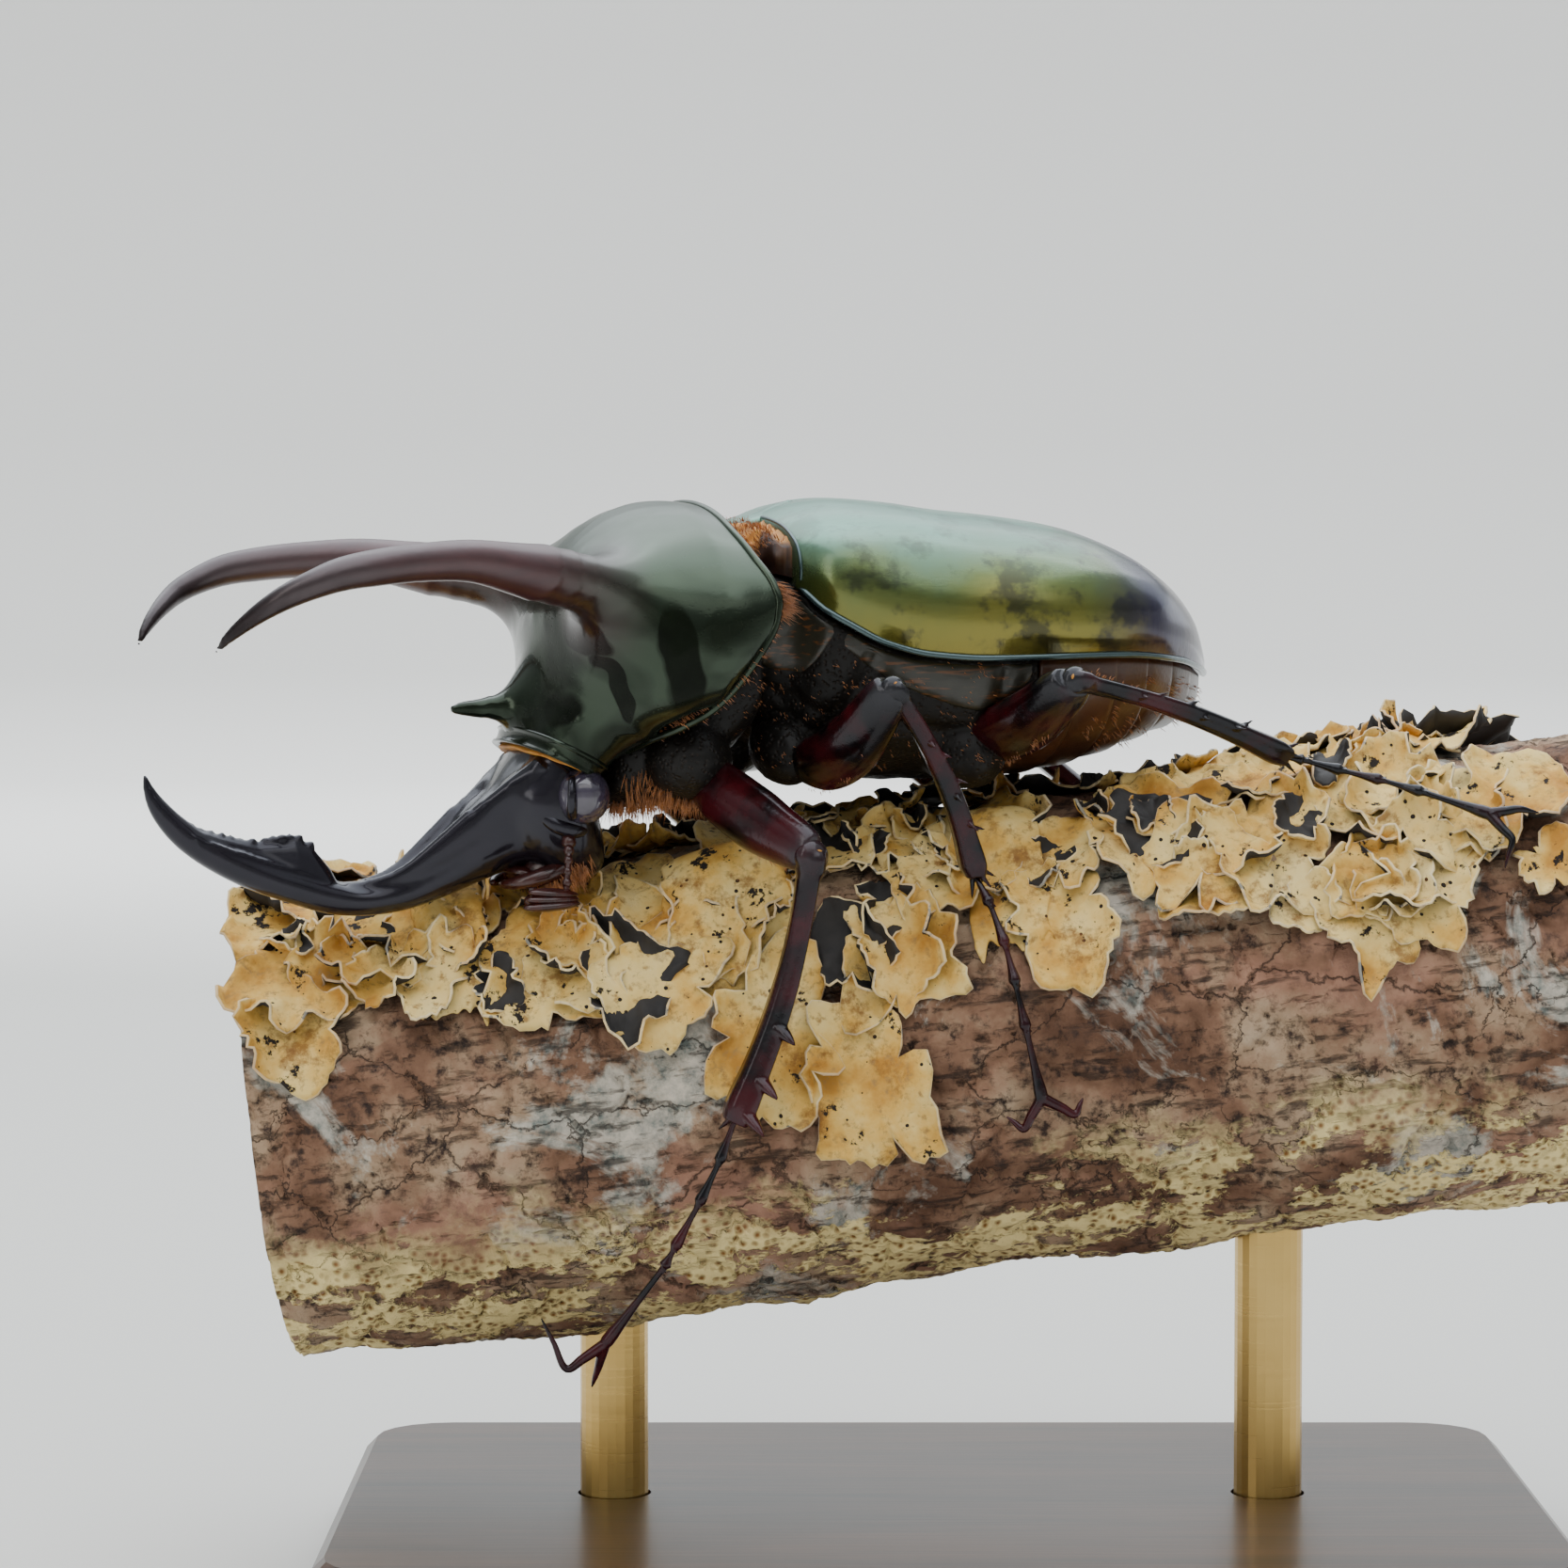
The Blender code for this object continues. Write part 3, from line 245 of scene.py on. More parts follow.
def through(rows, count):
    """Rows of numbers, the first three a place, spread evenly along the smooth line through them."""
    run = [0.0]
    for a, b in zip(rows, rows[1:]):
        run.append(run[-1] + (Vector(b[:3]) - Vector(a[:3])).length)
    lines = [curve([(r, row[k]) for r, row in zip(run, rows)], firm=k > 2) for k in range(len(rows[0]))]
    return [tuple(line(run[-1] * i / (count - 1)) for line in lines) for i in range(count)]


def superellipse(angle, power):
    """(across, up) on a rounded square of unit half size, with the angle counted from the top."""
    across, up = sin(angle), cos(angle)
    return (copysign(abs(across) ** (2 / power), across), copysign(abs(up) ** (2 / power), up))


def loft(rings, caps=True, bm=None):
    """Adds a body through rings of points to a bmesh: a circle is extruded from ring to ring."""
    bm = bm or bmesh.new()
    sides = len(rings[0])
    verts = bmesh.ops.create_circle(bm, cap_ends=False, segments=sides, radius=1.0)["verts"]
    for vert, point in zip(verts, rings[0]):
        vert.co = point
    first = verts
    for ring in rings[1:]:
        edges = [bm.edges.get((verts[i - 1], verts[i])) for i in range(sides)]
        made = bmesh.ops.extrude_edge_only(bm, edges=edges)["geom"]
        fresh = {item for item in made if isinstance(item, bmesh.types.BMVert)}
        verts = [next(e.other_vert(v) for e in v.link_edges if e.other_vert(v) in fresh) for v in verts]
        for vert, point in zip(verts, ring):
            vert.co = point
    if caps:
        for end in (first, verts):
            bmesh.ops.contextual_create(bm, geom=end)
    return bm


def limb(rows, sides, across, count=None, flute=None):
    """Lofts a limb along (x, y, z, wide, thick) rows, evened out to count if it is given.

    Across is the way its wide side faces, and flute says how proud it stands at a share and an angle.
    """
    rows = through(rows, count) if count else rows
    points = [Vector(row[:3]) for row in rows]
    rings = []
    for i, (point, row) in enumerate(zip(points, rows)):
        along = (points[min(i + 1, len(rows) - 1)] - points[max(i - 1, 0)]).normalized()
        wide = (Vector(across) - along * Vector(across).dot(along)).normalized()
        thick = along.cross(wide)
        ring = []
        for k in range(sides):
            angle = 2 * pi * k / sides
            swell = 1.0 + (flute(i / (len(rows) - 1), angle) if flute else 0.0)
            ring.append(point + wide * sin(angle) * row[3] / 2 * swell
                        + thick * cos(angle) * row[4] / 2 * swell)
        rings.append(ring)
    return loft(rings)


def place(bm, name, finish, slot, nodes=(), smooth=True, closed=True):
    """Turns a bmesh in beetle millimetres into a piece at the origin that rides on the frame."""
    bmesh.ops.transform(bm, matrix=HOME, verts=bm.verts)
    if closed:
        face_out(bm)
    mesh = bpy.data.meshes.new(name)
    bm.to_mesh(mesh)
    bm.free()
    obj = put(name, mesh)
    for one in finish if isinstance(finish, (list, tuple)) else [finish]:
        mesh.materials.append(one)
    if smooth:
        mesh.shade_smooth()
    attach(obj, "root")
    if nodes:
        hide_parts(*nodes)
    return obj


def triangles(obj):
    """How many triangles a piece has, its modifiers counted."""
    shape = obj.evaluated_get(bpy.context.evaluated_depsgraph_get()).to_mesh()
    return sum(len(p.vertices) - 2 for p in shape.polygons)


print("helpers ready")

# %% [markdown]
# A beetle's shell is chitin, laid down in layers and hardened, with a waxy outer skin as smooth as
# lacquer. Black shell has little colour of its own: the eye reads it from what it mirrors. So this
# finish is nearly black with a green cast, low roughness and a thin clear coat, and the horns turn
# red brown where they are thin and light comes through. Two attributes of the mesh steer it: horn
# is 1 on a horn, and tint says how much red shows there.

# %% Finish of the shield and horns
def two_toned(low, high, scale, detail=2.0):
    """A colour that drifts between two in clouds, because nothing grown has one colour all over."""
    clouds = add("TexNoise", {"Vector": where, "Scale": scale, "Detail": detail})
    return add("Mix", {"Factor": clouds, "A": low, "B": high})


shield_shell, tree, shader, where = new_finish("hardened chitin, polished black green", "12170F", 0.16, ior=1.56)
tint = add("Attribute", {}, out="Fac", attribute_name="tint")
horn = add("Attribute", {}, out="Fac", attribute_name="horn")
body_tone = two_toned("080A08", "171D12", 220.0, 3.0)
streaks = add("Mapping", {"Vector": where, "Scale": (160.0, 900.0, 900.0)})
streak = add("TexNoise", {"Vector": streaks, "Scale": 1.0, "Detail": 4.0})
thin_tone = add("Mix", {"Factor": streak, "A": "1A0808", "B": "47191A"})
horn_tone = add("Mix", {"Factor": horn, "A": body_tone, "B": "0B090C"})
shell_tone = add("Mix", {"Factor": tint, "A": horn_tone, "B": thin_tone})
# Pits about 0.4 mm apart, shallow, drawn on the flanks and fading towards the polished top.
pits = add("TexVoronoi", {"Vector": where, "Scale": 2200.0})
height = add("SeparateXYZ", {"Vector": where}, out="Z")
low_down = add("MapRange", {"Value": height}, span=(0.1045, 0.098))
dents = add("MapRange", {"Value": pits}, span=(0.05, 0.30))
relief = add("Mix", {"Factor": low_down, "A": 1.0, "B": dents}, data_type="FLOAT")
pit_bump = add("Bump", {"Strength": 0.35, "Distance": 0.00003, "Height": relief})
line_bump = add("Bump", {"Strength": 0.25, "Distance": 0.00003, "Height": streak, "Normal": pit_bump})
patchy = add("TexNoise", {"Vector": where, "Scale": 400.0, "Detail": 5.0})
gloss = add("MapRange", {"Value": patchy, "To Min": 0.08, "To Max": 0.22})
bloom = add("MapRange", {"Value": height, "To Max": 0.2}, span=(0.099, 0.107))
horn_satin = add("Math", {0: horn, 1: 0.14, 2: gloss}, operation="MULTIPLY_ADD")
satin = add("Math", {0: horn_satin, 1: bloom}, operation="ADD")
sheen = add("Mix", {"Factor": horn, "A": "C6E2C4", "B": "EBDDE2"})
# Patches about 8 mm across on the flanks, where the shell mirrors less: partly worn waxy skin, partly painted
# dark reflections.
smoky = add("TexNoise", {"Vector": where, "Scale": 100.0, "Distortion": 1.2})
smoke = add("MapRange", {"Value": smoky, "To Min": 0.3, "To Max": 0.85}, span=(0.38, 0.60))
smoke_low = add("Math", {0: smoke, 1: low_down}, operation="MULTIPLY")
# The largest patches lie where the photograph shows them. Each is given by its middle in millimetres
# along the view and up, its half width and half height, and its lean in degrees.
WARP = 0.005
warp = add("TexNoise", {"Vector": where, "Scale": 170.0, "Detail": 1.0}, out="Color")
shaken = add("VectorMath", {0: warp, 1: (WARP, WARP, WARP), 2: where}, operation="MULTIPLY_ADD")
worn_and_painted_dark_share = smoke_low
PAINTED_DARK_REFLECTIONS = ((-5.9, -5.1, 3.2, 5.8, -12), (-15.5, -2.9, 3.8, 2.2, 35), (-12.4, -8.0, 4.2, 1.3, 60),
                (-18.8, -10.4, 3.2, 3.0, 0))
# These placed patches are painted dark reflections.
for across, up, half_wide, half_high, lean in PAINTED_DARK_REFLECTIONS:
    middle = HOME @ Vector(((across - 5.1) / 0.94, -15.0, up)) + Vector((WARP, WARP, WARP)) / 2
    spot_place = add("Mapping", {"Vector": shaken, "Location": middle,
                                 "Rotation": (0.0, radians(lean), radians(CAMERA_AZIMUTH)),
                                 "Scale": (half_wide * MM, 14 * MM, half_high * MM)}, vector_type="TEXTURE")
    spot = add("TexGradient", {"Vector": spot_place}, out="Fac", gradient_type="SPHERICAL")
    spot_part = add("MapRange", {"Value": spot, "From Max": 0.22})
    worn_and_painted_dark_share = add("Math", {0: worn_and_painted_dark_share, 1: spot_part}, operation="MAXIMUM")
# The specular tint turns near black in all these patches: painted dark reflections, partly also worn wax.
worn_and_painted_dark_sheen = add("Mix", {"Factor": worn_and_painted_dark_share, "A": sheen, "B": "0E110E"})
feed(shader, {"Base Color": shell_tone, "Normal": line_bump, "Roughness": satin, "Specular IOR Level": 1.0,
              "Specular Tint": worn_and_painted_dark_sheen, "Coat Weight": 0.12, "Coat Roughness": 0.12})
print("finish:", shield_shell.name)

# %% [markdown]
# The shield is one plate of shell, the pronotum, which folds down to the head like the hood of a
# cloak. On a male its two long horns and its short middle horn are drawn out of it, with no joint.
# A Boolean would leave a sharp crease at each root, so plate and horns are lofted apart, fused by a
# voxel remesh, and the creases smoothed into the flares that the real one has. First come the
# plate's lines, each given at ten stations from the hind edge at 0 to the front edge at 9.

# %% Curves of the shield
SHIELD_HALF = 21.2
SHIELD_STATIONS = {
    "top_x": [-2.2, -4.5, -9.5, -14.5, -18.6, -21.4, -22.5, -22.7, -23.9, -25.2],
    "top_z": [8.3, 9.6, 10.3, 9.4, 7.3, 4.2, 0.3, -4.7, -9.8, -13.8],
    "low_x": [-2.8, -5.0, -8.2, -11.0, -13.0, -14.5, -15.5, -16.1, -16.5, -17.0],
    "low_z": [-2.5, -7.0, -11.5, -13.2, -14.0, -14.8, -15.6, -16.3, -16.9, -17.6],
    "half": [0.96, 0.99, 1.0, 0.945, 0.86, 0.75, 0.645, 0.56, 0.49, 0.43],
    "widest": [0.72, 0.68, 0.62, 0.60, 0.57, 0.54, 0.52, 0.5, 0.5, 0.5],
}
shield_line = {key: curve(list(enumerate(row)), firm=False) for key, row in SHIELD_STATIONS.items()}
# The hind edge, as degrees from the top to the station where the plate starts there.
shield_edge = curve([(0, 1.30), (36, 1.25), (55, 1.05), (75, 0.55), (86, 0.35), (94, 0.45), (107, 0.95),
                     (125, 1.6), (140, 2.6), (150, 3.8), (160, 5.0), (170, 5.9), (180, 6.2)])


def bell(value, middle, width):
    """1 at the middle, falling softly to 0 on both sides."""
    return exp(-((value - middle) / width) ** 2)


def shield_point(v, angle, lift=0.0):
    """A point of the shield at station v and an angle from its top; lift moves it off the surface."""
    at = {key: line(v) for key, line in shield_line.items()}
    top = Vector((at["top_x"], 0, at["top_z"]))
    low = Vector((at["low_x"], 0, at["low_z"]))
    across, up = superellipse(angle, 2.1)
    if up < 0:
        across, up = superellipse(angle, 3.0)
    share = at["widest"] - up * (at["widest"] if up > 0 else 1 - at["widest"])
    point = top.lerp(low, share) + Vector((0, across * at["half"] * SHIELD_HALF, 0))
    turn = degrees(remainder(angle, 2 * pi))
    hollow = (1.5 * bell(v, 4.9, 1.5) * bell(turn, 0, 26)
              + 0.9 * bell(v, 7.2, 0.8) * (bell(turn, 42, 22) + bell(turn, -42, 22)))
    inward = (top.lerp(low, 0.5) - point).normalized()
    point += inward * hollow
    if lift:
        point += shield_normal(v, angle) * lift
    return point


def shield_normal(v, angle):
    """The way the shield's surface faces at a point."""
    along = shield_point(min(v + 0.05, 9), angle) - shield_point(max(v - 0.05, 0), angle)
    around = shield_point(v, angle + 0.02) - shield_point(v, angle - 0.02)
    return around.cross(along).normalized()


def edge_station(angle):
    """The station of the shield's hind edge at an angle."""
    return shield_edge(abs(degrees(remainder(angle, 2 * pi))))


print("shield normal at the top:", [round(c, 2) for c in shield_normal(2, 0.0)])

# %% [markdown]
# The two long horns bow out like a lyre and curl down and in at their tips. Each row gives a point
# on the right horn's line, its width and its thickness, and the left horn mirrors it.

# %% The shield's horns
HORN_SPREAD = 23.25
LONG_HORN = [(-12.9, 0.48, 0.6, 10.0, 9.4), (-18.9, 0.59, 1.4, 8.8, 8.2), (-24.0, 0.69, 2.6, 7.1, 6.7),
             (-29.3, 0.775, 3.6, 5.6, 5.1), (-34.5, 0.855, 4.4, 4.4, 4.1), (-39.7, 0.925, 4.3, 3.9, 3.7),
             (-44.7, 0.985, 3.8, 3.6, 3.5), (-48.1, 1.0, 3.2, 3.3, 3.2), (-50.6, 0.99, 2.3, 2.9, 2.8),
             (-53.1, 0.95, 1.1, 2.4, 2.4), (-55.2, 0.88, -0.4, 1.9, 1.9), (-57.1, 0.795, -2.2, 1.3, 1.3),
             (-57.9, 0.75, -3.2, 0.9, 0.9), (-58.5, 0.71, -4.3, 0.3, 0.3)]
MIDDLE_HORN = [(-20.8, 0, -9.4, 11.0, 10.4), (-22.2, 0, -9.8, 9.4, 8.8), (-23.2, 0, -10.0, 7.8, 7.2),
               (-24.4, 0, -10.3, 5.4, 4.9), (-26.1, 0, -10.4, 3.3, 3.1), (-27.9, 0, -10.4, 2.1, 1.9),
               (-29.6, 0, -10.4, 1.5, 1.4), (-30.9, 0, -10.5, 0.6, 0.6)]


horn_bodies = []
for side in (LEFT, RIGHT):
    rows = [(x, side * y * HORN_SPREAD, z, wide, thick) for x, y, z, wide, thick in LONG_HORN]
    horn_bodies.append(limb(rows, 36, (0, 1, 0), 90))
horn_bodies.append(limb(MIDDLE_HORN, 28, (0, 1, 0), 30))
print("horn faces:", [len(body.faces) for body in horn_bodies])

# %% [markdown]
# The plate is lofted from 70 rings between its hind and front edges, and closed behind and below,
# because a remesh needs a solid. The remesh gives even squares of a third of a millimetre, and each
# corner is drawn back on to the exact surface, so that the gloss runs clean. Near the horns' roots
# repeated smoothing then rounds the crease.

# %% Fuse the plate and the horns
def join(target, source):
    """Adds one bmesh to another."""
    spare = bpy.data.meshes.new("spare")
    source.to_mesh(spare)
    target.from_mesh(spare)
    bpy.data.meshes.remove(spare)
    return target


def fuse(bodies, voxel, reach):
    """One closed skin of even squares round several bodies, with its near corners drawn on to them."""
    solid = bmesh.new()
    for body in bodies:
        face_out(body)
        join(solid, body)
    mesh = bpy.data.meshes.new("to remesh")
    solid.to_mesh(mesh)
    obj = put("to remesh", mesh)
    change = obj.modifiers.new("remesh", "REMESH")
    change.mode = "VOXEL"
    change.voxel_size = voxel
    skin = bmesh.new()
    skin.from_mesh(obj.evaluated_get(bpy.context.evaluated_depsgraph_get()).to_mesh())
    bpy.data.objects.remove(obj)
    bpy.data.meshes.remove(mesh)
    surface = BVHTree.FromBMesh(solid)
    for vert in skin.verts:
        near, _, _, gap = surface.find_nearest(vert.co)
        if gap < reach:
            vert.co = near
    return skin


def soften(bm, verts, repeats=1):
    """Draws corners halfway to the middle of their neighbours, over and over."""
    for _ in range(repeats):
        bmesh.ops.smooth_vert(bm, verts=verts, factor=0.5, use_axis_x=True, use_axis_y=True, use_axis_z=True)


def store(bm, name, number):
    """Writes a number for each corner of a bmesh as an attribute, for its finish to read."""
    layer = bm.verts.layers.float.new(name)
    for index, vert in enumerate(bm.verts):
        vert[layer] = number(index, vert.co)


def round_off(bm, first, second, widths, repeats):
    """Smooths the crease where two surfaces meet, in bands that narrow to it, clear of the hind edge."""
    for width in widths:
        band = [v for v in bm.verts if v.co.x < -9.0 and first.find_nearest(v.co, width)[0] is not None
                and second.find_nearest(v.co, width)[0] is not None]
        soften(bm, band, repeats)


BODY_VOXEL, HEAD_VOXEL = 0.34, 0.22
SHIELD_SIDES = 144
angles = [2 * pi * k / SHIELD_SIDES for k in range(SHIELD_SIDES)]
rings = [[shield_point(edge_station(a), a, -1.6) for a in angles]]
rings += [[shield_point(edge_station(a) + (9 - edge_station(a)) * i / 69, a) for a in angles] for i in range(70)]
plate = loft(rings)
bmesh.ops.poke(plate, faces=[face for face in plate.faces if len(face.verts) > 4])
face_out(plate)
plate_tree = BVHTree.FromBMesh(plate)
shield = fuse([plate] + horn_bodies, BODY_VOXEL, 0.5)
for body, widths, repeats in zip(horn_bodies, ((9.0, 6.5, 4.5), (9.0, 6.5, 4.5), (3.0, 2.0)), (150, 150, 50)):
    round_off(shield, BVHTree.FromBMesh(body), plate_tree, widths, repeats)
soften(shield, shield.verts)
print("shield faces:", len(shield.faces))

# %% [markdown]
# The plate's edge is rolled into a fine bead, which catches a bright line of light. It is narrower
# than the remesh's squares, so it is laid on afterwards: a thin limb along the edge, half sunk into
# the plate. The hood's front edge has two such beads with a smooth dark band between them.

# %% Beads and the band of the hood
def bead(bm, points, width, height, sides=10):
    """Lays a rounded thread along points, closed at both ends."""
    rows = [tuple(point) + (width, height) for point in points]
    rows[0] = rows[0][:3] + (width * 0.3, height * 0.3)
    rows[-1] = rows[-1][:3] + (width * 0.3, height * 0.3)
    join(bm, limb(rows, sides, (0.3, 0.1, 1.0)))


def arc(first, last, count):
    return [radians(first + (last - first) * i / (count - 1)) for i in range(count)]


bead(shield, [shield_point(edge_station(a) + 0.12, a, -0.04) for a in arc(-172, 172, 220)], 0.8, 0.72)
BAND = [(1.85, 0.0), (1.74, 0.26), (1.56, 0.32), (1.42, 0.14), (1.1, 0.10), (0.6, 0.12), (0.36, 0.20),
        (0.22, 0.42),
        (0.04, 0.46), (-0.05, 0.2), (0.0, -0.5), (0.9, -0.8), (1.8, -0.5)]
band = []
for angle in arc(-148, 148, 180):
    pace = (shield_point(9.0, angle) - shield_point(8.0, angle)).length
    band.append([shield_point(9.0 - back_by / pace, angle, lift) for back_by, lift in BAND])
join(shield, loft(band))
horn_share = curve([(-58.5, 1.0), (-30.0, 1.0), (-20.0, 0.6), (-15.0, 0.0)])
horn_tint = curve([(-58.5, 0.1), (-50.0, 0.25), (-42.0, 0.7), (-32.0, 1.0), (-25.0, 0.75), (-19.0, 0.25),
                   (-15.0, 0.0)])
long_horns = BVHTree.FromBMesh(join(horn_bodies[0].copy(), horn_bodies[1]))


def near_horn(at):
    """1 on the surface of a long horn, falling to 0 over 4 mm."""
    gap = long_horns.find_nearest(at, 4.0)[3]
    return 0.0 if gap is None else 1 - gap / 4.0


store(shield, "tint", lambda _, at: horn_tint(at.x) * near_horn(at))
store(shield, "horn", lambda _, at: horn_share(at.x) * near_horn(at))
shield_piece = place(shield, "shield_and_horns", shield_shell, "shield",
                     ("pronotum", "thorax_horn_left", "thorax_horn_right", "thorax_horn_middle"))
print("shield triangles:", triangles(shield_piece))

# %% [markdown]
# The head's shell is blue black and faintly wrinkled along its length, so its highlights are a
# little rough where the shield's are clean. The feelers and palps are thinner and redder, and the
# eye is a dark dome of thousands of facets, each 0.03 mm across. Those are too fine for the render,
# so they are drawn at 0.12 mm and very shallow.

# %% Finishes of the head, the eyes and the feelers
head_shell, tree, shader, where = new_finish("hardened chitin, wrinkled blue black", "0D0E13", 0.18, ior=1.56)
head_tone = two_toned("08080B", "1B151C", 260.0, 4.0)
lengthwise = add("Mapping", {"Vector": where, "Scale": (350.0, 1500.0, 900.0)})
wrinkle = add("TexNoise", {"Vector": lengthwise, "Scale": 1.0, "Detail": 5.0})
wrinkle_bump = add("Bump", {"Strength": 0.5, "Distance": 0.00004, "Height": wrinkle})
gloss = add("MapRange", {"Value": wrinkle, "To Min": 0.12, "To Max": 0.30})
feed(shader, {"Base Color": head_tone, "Normal": wrinkle_bump, "Roughness": gloss,
              "Specular Tint": "B6B8CA", "Coat Weight": 0.28, "Coat Roughness": 0.08})

eye_lens, tree, shader, where = new_finish("faceted cornea, dark violet grey", "17121C", 0.10, ior=1.56)
facets = add("TexVoronoi", {"Vector": where, "Scale": 8000.0})
facet_bump = add("Bump", {"Strength": 0.12, "Distance": 0.00001, "Height": facets})
eye_tone = two_toned("1C1722", "4A4254", 500.0)
feed(shader, {"Normal": facet_bump, "Base Color": eye_tone, "Coat Weight": 1.0, "Coat Roughness": 0.03})

feeler_shell, tree, shader, where = new_finish("thin chitin, satin red brown", "3A1A12", 0.22, ior=1.54)
feeler_tone = two_toned("120D10", "4C1F16", 700.0, 3.0)
fuzz = add("TexNoise", {"Vector": where, "Scale": 6000.0})
fuzz_bump = add("Bump", {"Strength": 0.3, "Distance": 0.00002, "Height": fuzz})
feed(shader, {"Base Color": feeler_tone, "Normal": fuzz_bump})

soft_skin, tree, shader, where = new_finish("soft joint membrane, orange leather", "B06A2C", 0.55, ior=1.45)
clouds = add("TexNoise", {"Vector": where, "Scale": 900.0, "Detail": 4.0})
skin_tone = add("Mix", {"Factor": clouds, "A": "6B340F", "B": "F0A840"})
# Painted shade: the skin is darkened where an attribute says it lies low in the gap under the shield.
painted_shade = add("Attribute", {}, out="Fac", attribute_name="painted_shade")
painted_shade_skin = add("Mix", {"Factor": painted_shade, "A": skin_tone, "B": "2C1409"})
folds = add("Bump", {"Strength": 0.5, "Distance": 0.00006, "Height": clouds})
feed(shader, {"Base Color": painted_shade_skin, "Normal": folds, "Subsurface Weight": 0.15, "Subsurface Scale": 0.001})
print("finishes:", head_shell.name, "|", eye_lens.name, "|", feeler_shell.name, "|", soft_skin.name)

# %% [markdown]
# The head is a capsule drawn out into one long horn that sweeps forward and up. Two sharp keels run
# from above the eyes down the horn's upper side, and a toothed crest stands past its middle, which
# tells this species from its relatives. All are fused in one remesh, and their creases are rounded
# as the shield's were.

# %% The head capsule, its horn and keels
def ball(bm, centre, radii, turn=None, segments=24, rings=14):
    """Adds an ellipsoid, turned about its own centre."""
    move = Matrix.Translation(centre) @ (turn or Matrix.Identity(4)) @ Matrix.Diagonal(Vector(radii).to_4d())
    bmesh.ops.create_uvsphere(bm, u_segments=segments, v_segments=rings, radius=1.0, matrix=move)


HEAD_HALF = 8.0
HEAD_STATIONS = [(-20.8, -14.6, 3.2, 0.86), (-20.8, -16.6, 3.8, 0.92), (-20.9, -18.2, 4.7, 0.94),
                 (-21.1, -20.6, 5.8, 0.96), (-21.0, -23.0, 6.1, 0.88), (-20.9, -25.2, 5.2, 0.72),
                 (-20.9, -26.8, 3.6, 0.5)]
HEAD_HORN = [(-22.5, 0, -21.2, 8.6, 9.6), (-25.5, 0, -22.6, 8.0, 8.4), (-28.5, 0, -24.4, 6.8, 6.6),
             (-32, 0, -26.6, 5.4, 5.0), (-36, 0, -28.5, 4.4, 3.7), (-40, 0, -29.2, 3.9, 3.1),
             (-43.5, 0, -28.7, 3.8, 3.4), (-46.5, 0, -27.8, 3.7, 3.4), (-50.5, 0, -26.4, 3.4, 3.4),
             (-54.5, 0, -24.5, 3.0, 3.2), (-57.8, 0, -22.4, 2.4, 2.7), (-60.2, 0, -19.9, 1.8, 2.0),
             (-61.3, 0, -17.9, 1.0, 1.1), (-61.7, 0, -16.4, 0.3, 0.3)]
KEEL = [(-22.6, 5.6, -15.8, 2.4, 2.6), (-24.0, 4.7, -17.4, 2.4, 3.2), (-25.8, 3.9, -19.2, 2.3, 4.0),
        (-27.8, 3.1, -21.0, 2.1, 4.0), (-30.0, 2.7, -22.7, 1.9, 3.6), (-32.2, 2.3, -24.3, 1.7, 3.0),
        (-36.0, 1.5, -26.7, 1.3, 1.9), (-39.5, 0.8, -27.6, 0.9, 1.2), (-41.5, 0.3, -27.5, 0.6, 0.7)]
HEAD_LEAN = Vector((0.92, 0, -0.40))


def head_ring(x, z, length, half):
    ring = []
    for k in range(64):
        across, up = superellipse(2 * pi * k / 64, 2.3)
        ring.append(Vector((x, across * half * HEAD_HALF, z)) - HEAD_LEAN * up * length)
    return ring


stations = [(x, 0, z, length, half) for x, z, length, half in HEAD_STATIONS]
capsule = loft([head_ring(x, z, length, half) for x, _, z, length, half in through(stations, 40)])
head_horn = limb(HEAD_HORN, 36, (0, 1, 0), 100)
keels = [limb([(x, side * y, z, w, t) for x, y, z, w, t in KEEL], 16, (0, 1, 0), 40) for side in (LEFT, RIGHT)]
print("head:", len(capsule.faces), "horn:", len(head_horn.faces), "keels:", [len(k.faces) for k in keels])

# %% [markdown]
# The crest is a thin wall with a steep front and a long, uneven upper edge: its side outline is
# drawn at six depths, the outer ones lower, so that it narrows upwards. Small knobs, smaller
# towards the tip, make its teeth.

# %% The crest, and fusing the head
CREST = [(-42.2, -28.0), (-43.2, -26.0), (-45.2, -23.6), (-46.7, -22.9), (-50.4, -23.3), (-54.4, -22.4),
         (-57.2, -21.4), (-56.5, -23.0), (-50.0, -26.5), (-45.0, -28.3)]
crest_foot = curve([(-61.7, -16.4), (-57.8, -22.4), (-54.5, -24.5), (-50.5, -26.4), (-46.5, -27.8), (-40, -29.2)])
walls = []
for y, kept in ((-1.35, 0.35), (-0.75, 0.8), (-0.3, 1.0), (0.3, 1.0), (0.75, 0.8), (1.35, 0.35)):
    walls.append([(x, y, crest_foot(x) + (z - crest_foot(x)) * kept) for x, z in CREST])
crest = loft(walls)
chance = random.Random(7)
crest_edge = curve([(-59.4, -20.2), (-57.2, -21.5), (-54.4, -22.5), (-50.4, -23.3), (-46.7, -22.9),
                    (-44.6, -24.2)])
x = -45.2
while x > -59.0:
    size = (0.62 if x > -50 else 0.5) * chance.uniform(0.7, 1.15) * (1.0 if x > -54 else 0.75)
    ball(crest, (x, chance.uniform(-0.12, 0.12), crest_edge(x) + 0.05), (size, size * 0.85, size), segments=12,
         rings=8)
    x -= chance.uniform(0.8, 1.25)
skull = fuse([capsule, head_horn, crest] + keels, HEAD_VOXEL, 0.3)
horn_tree = BVHTree.FromBMesh(head_horn)
round_off(skull, BVHTree.FromBMesh(capsule), horn_tree, (3.6, 2.4), 40)
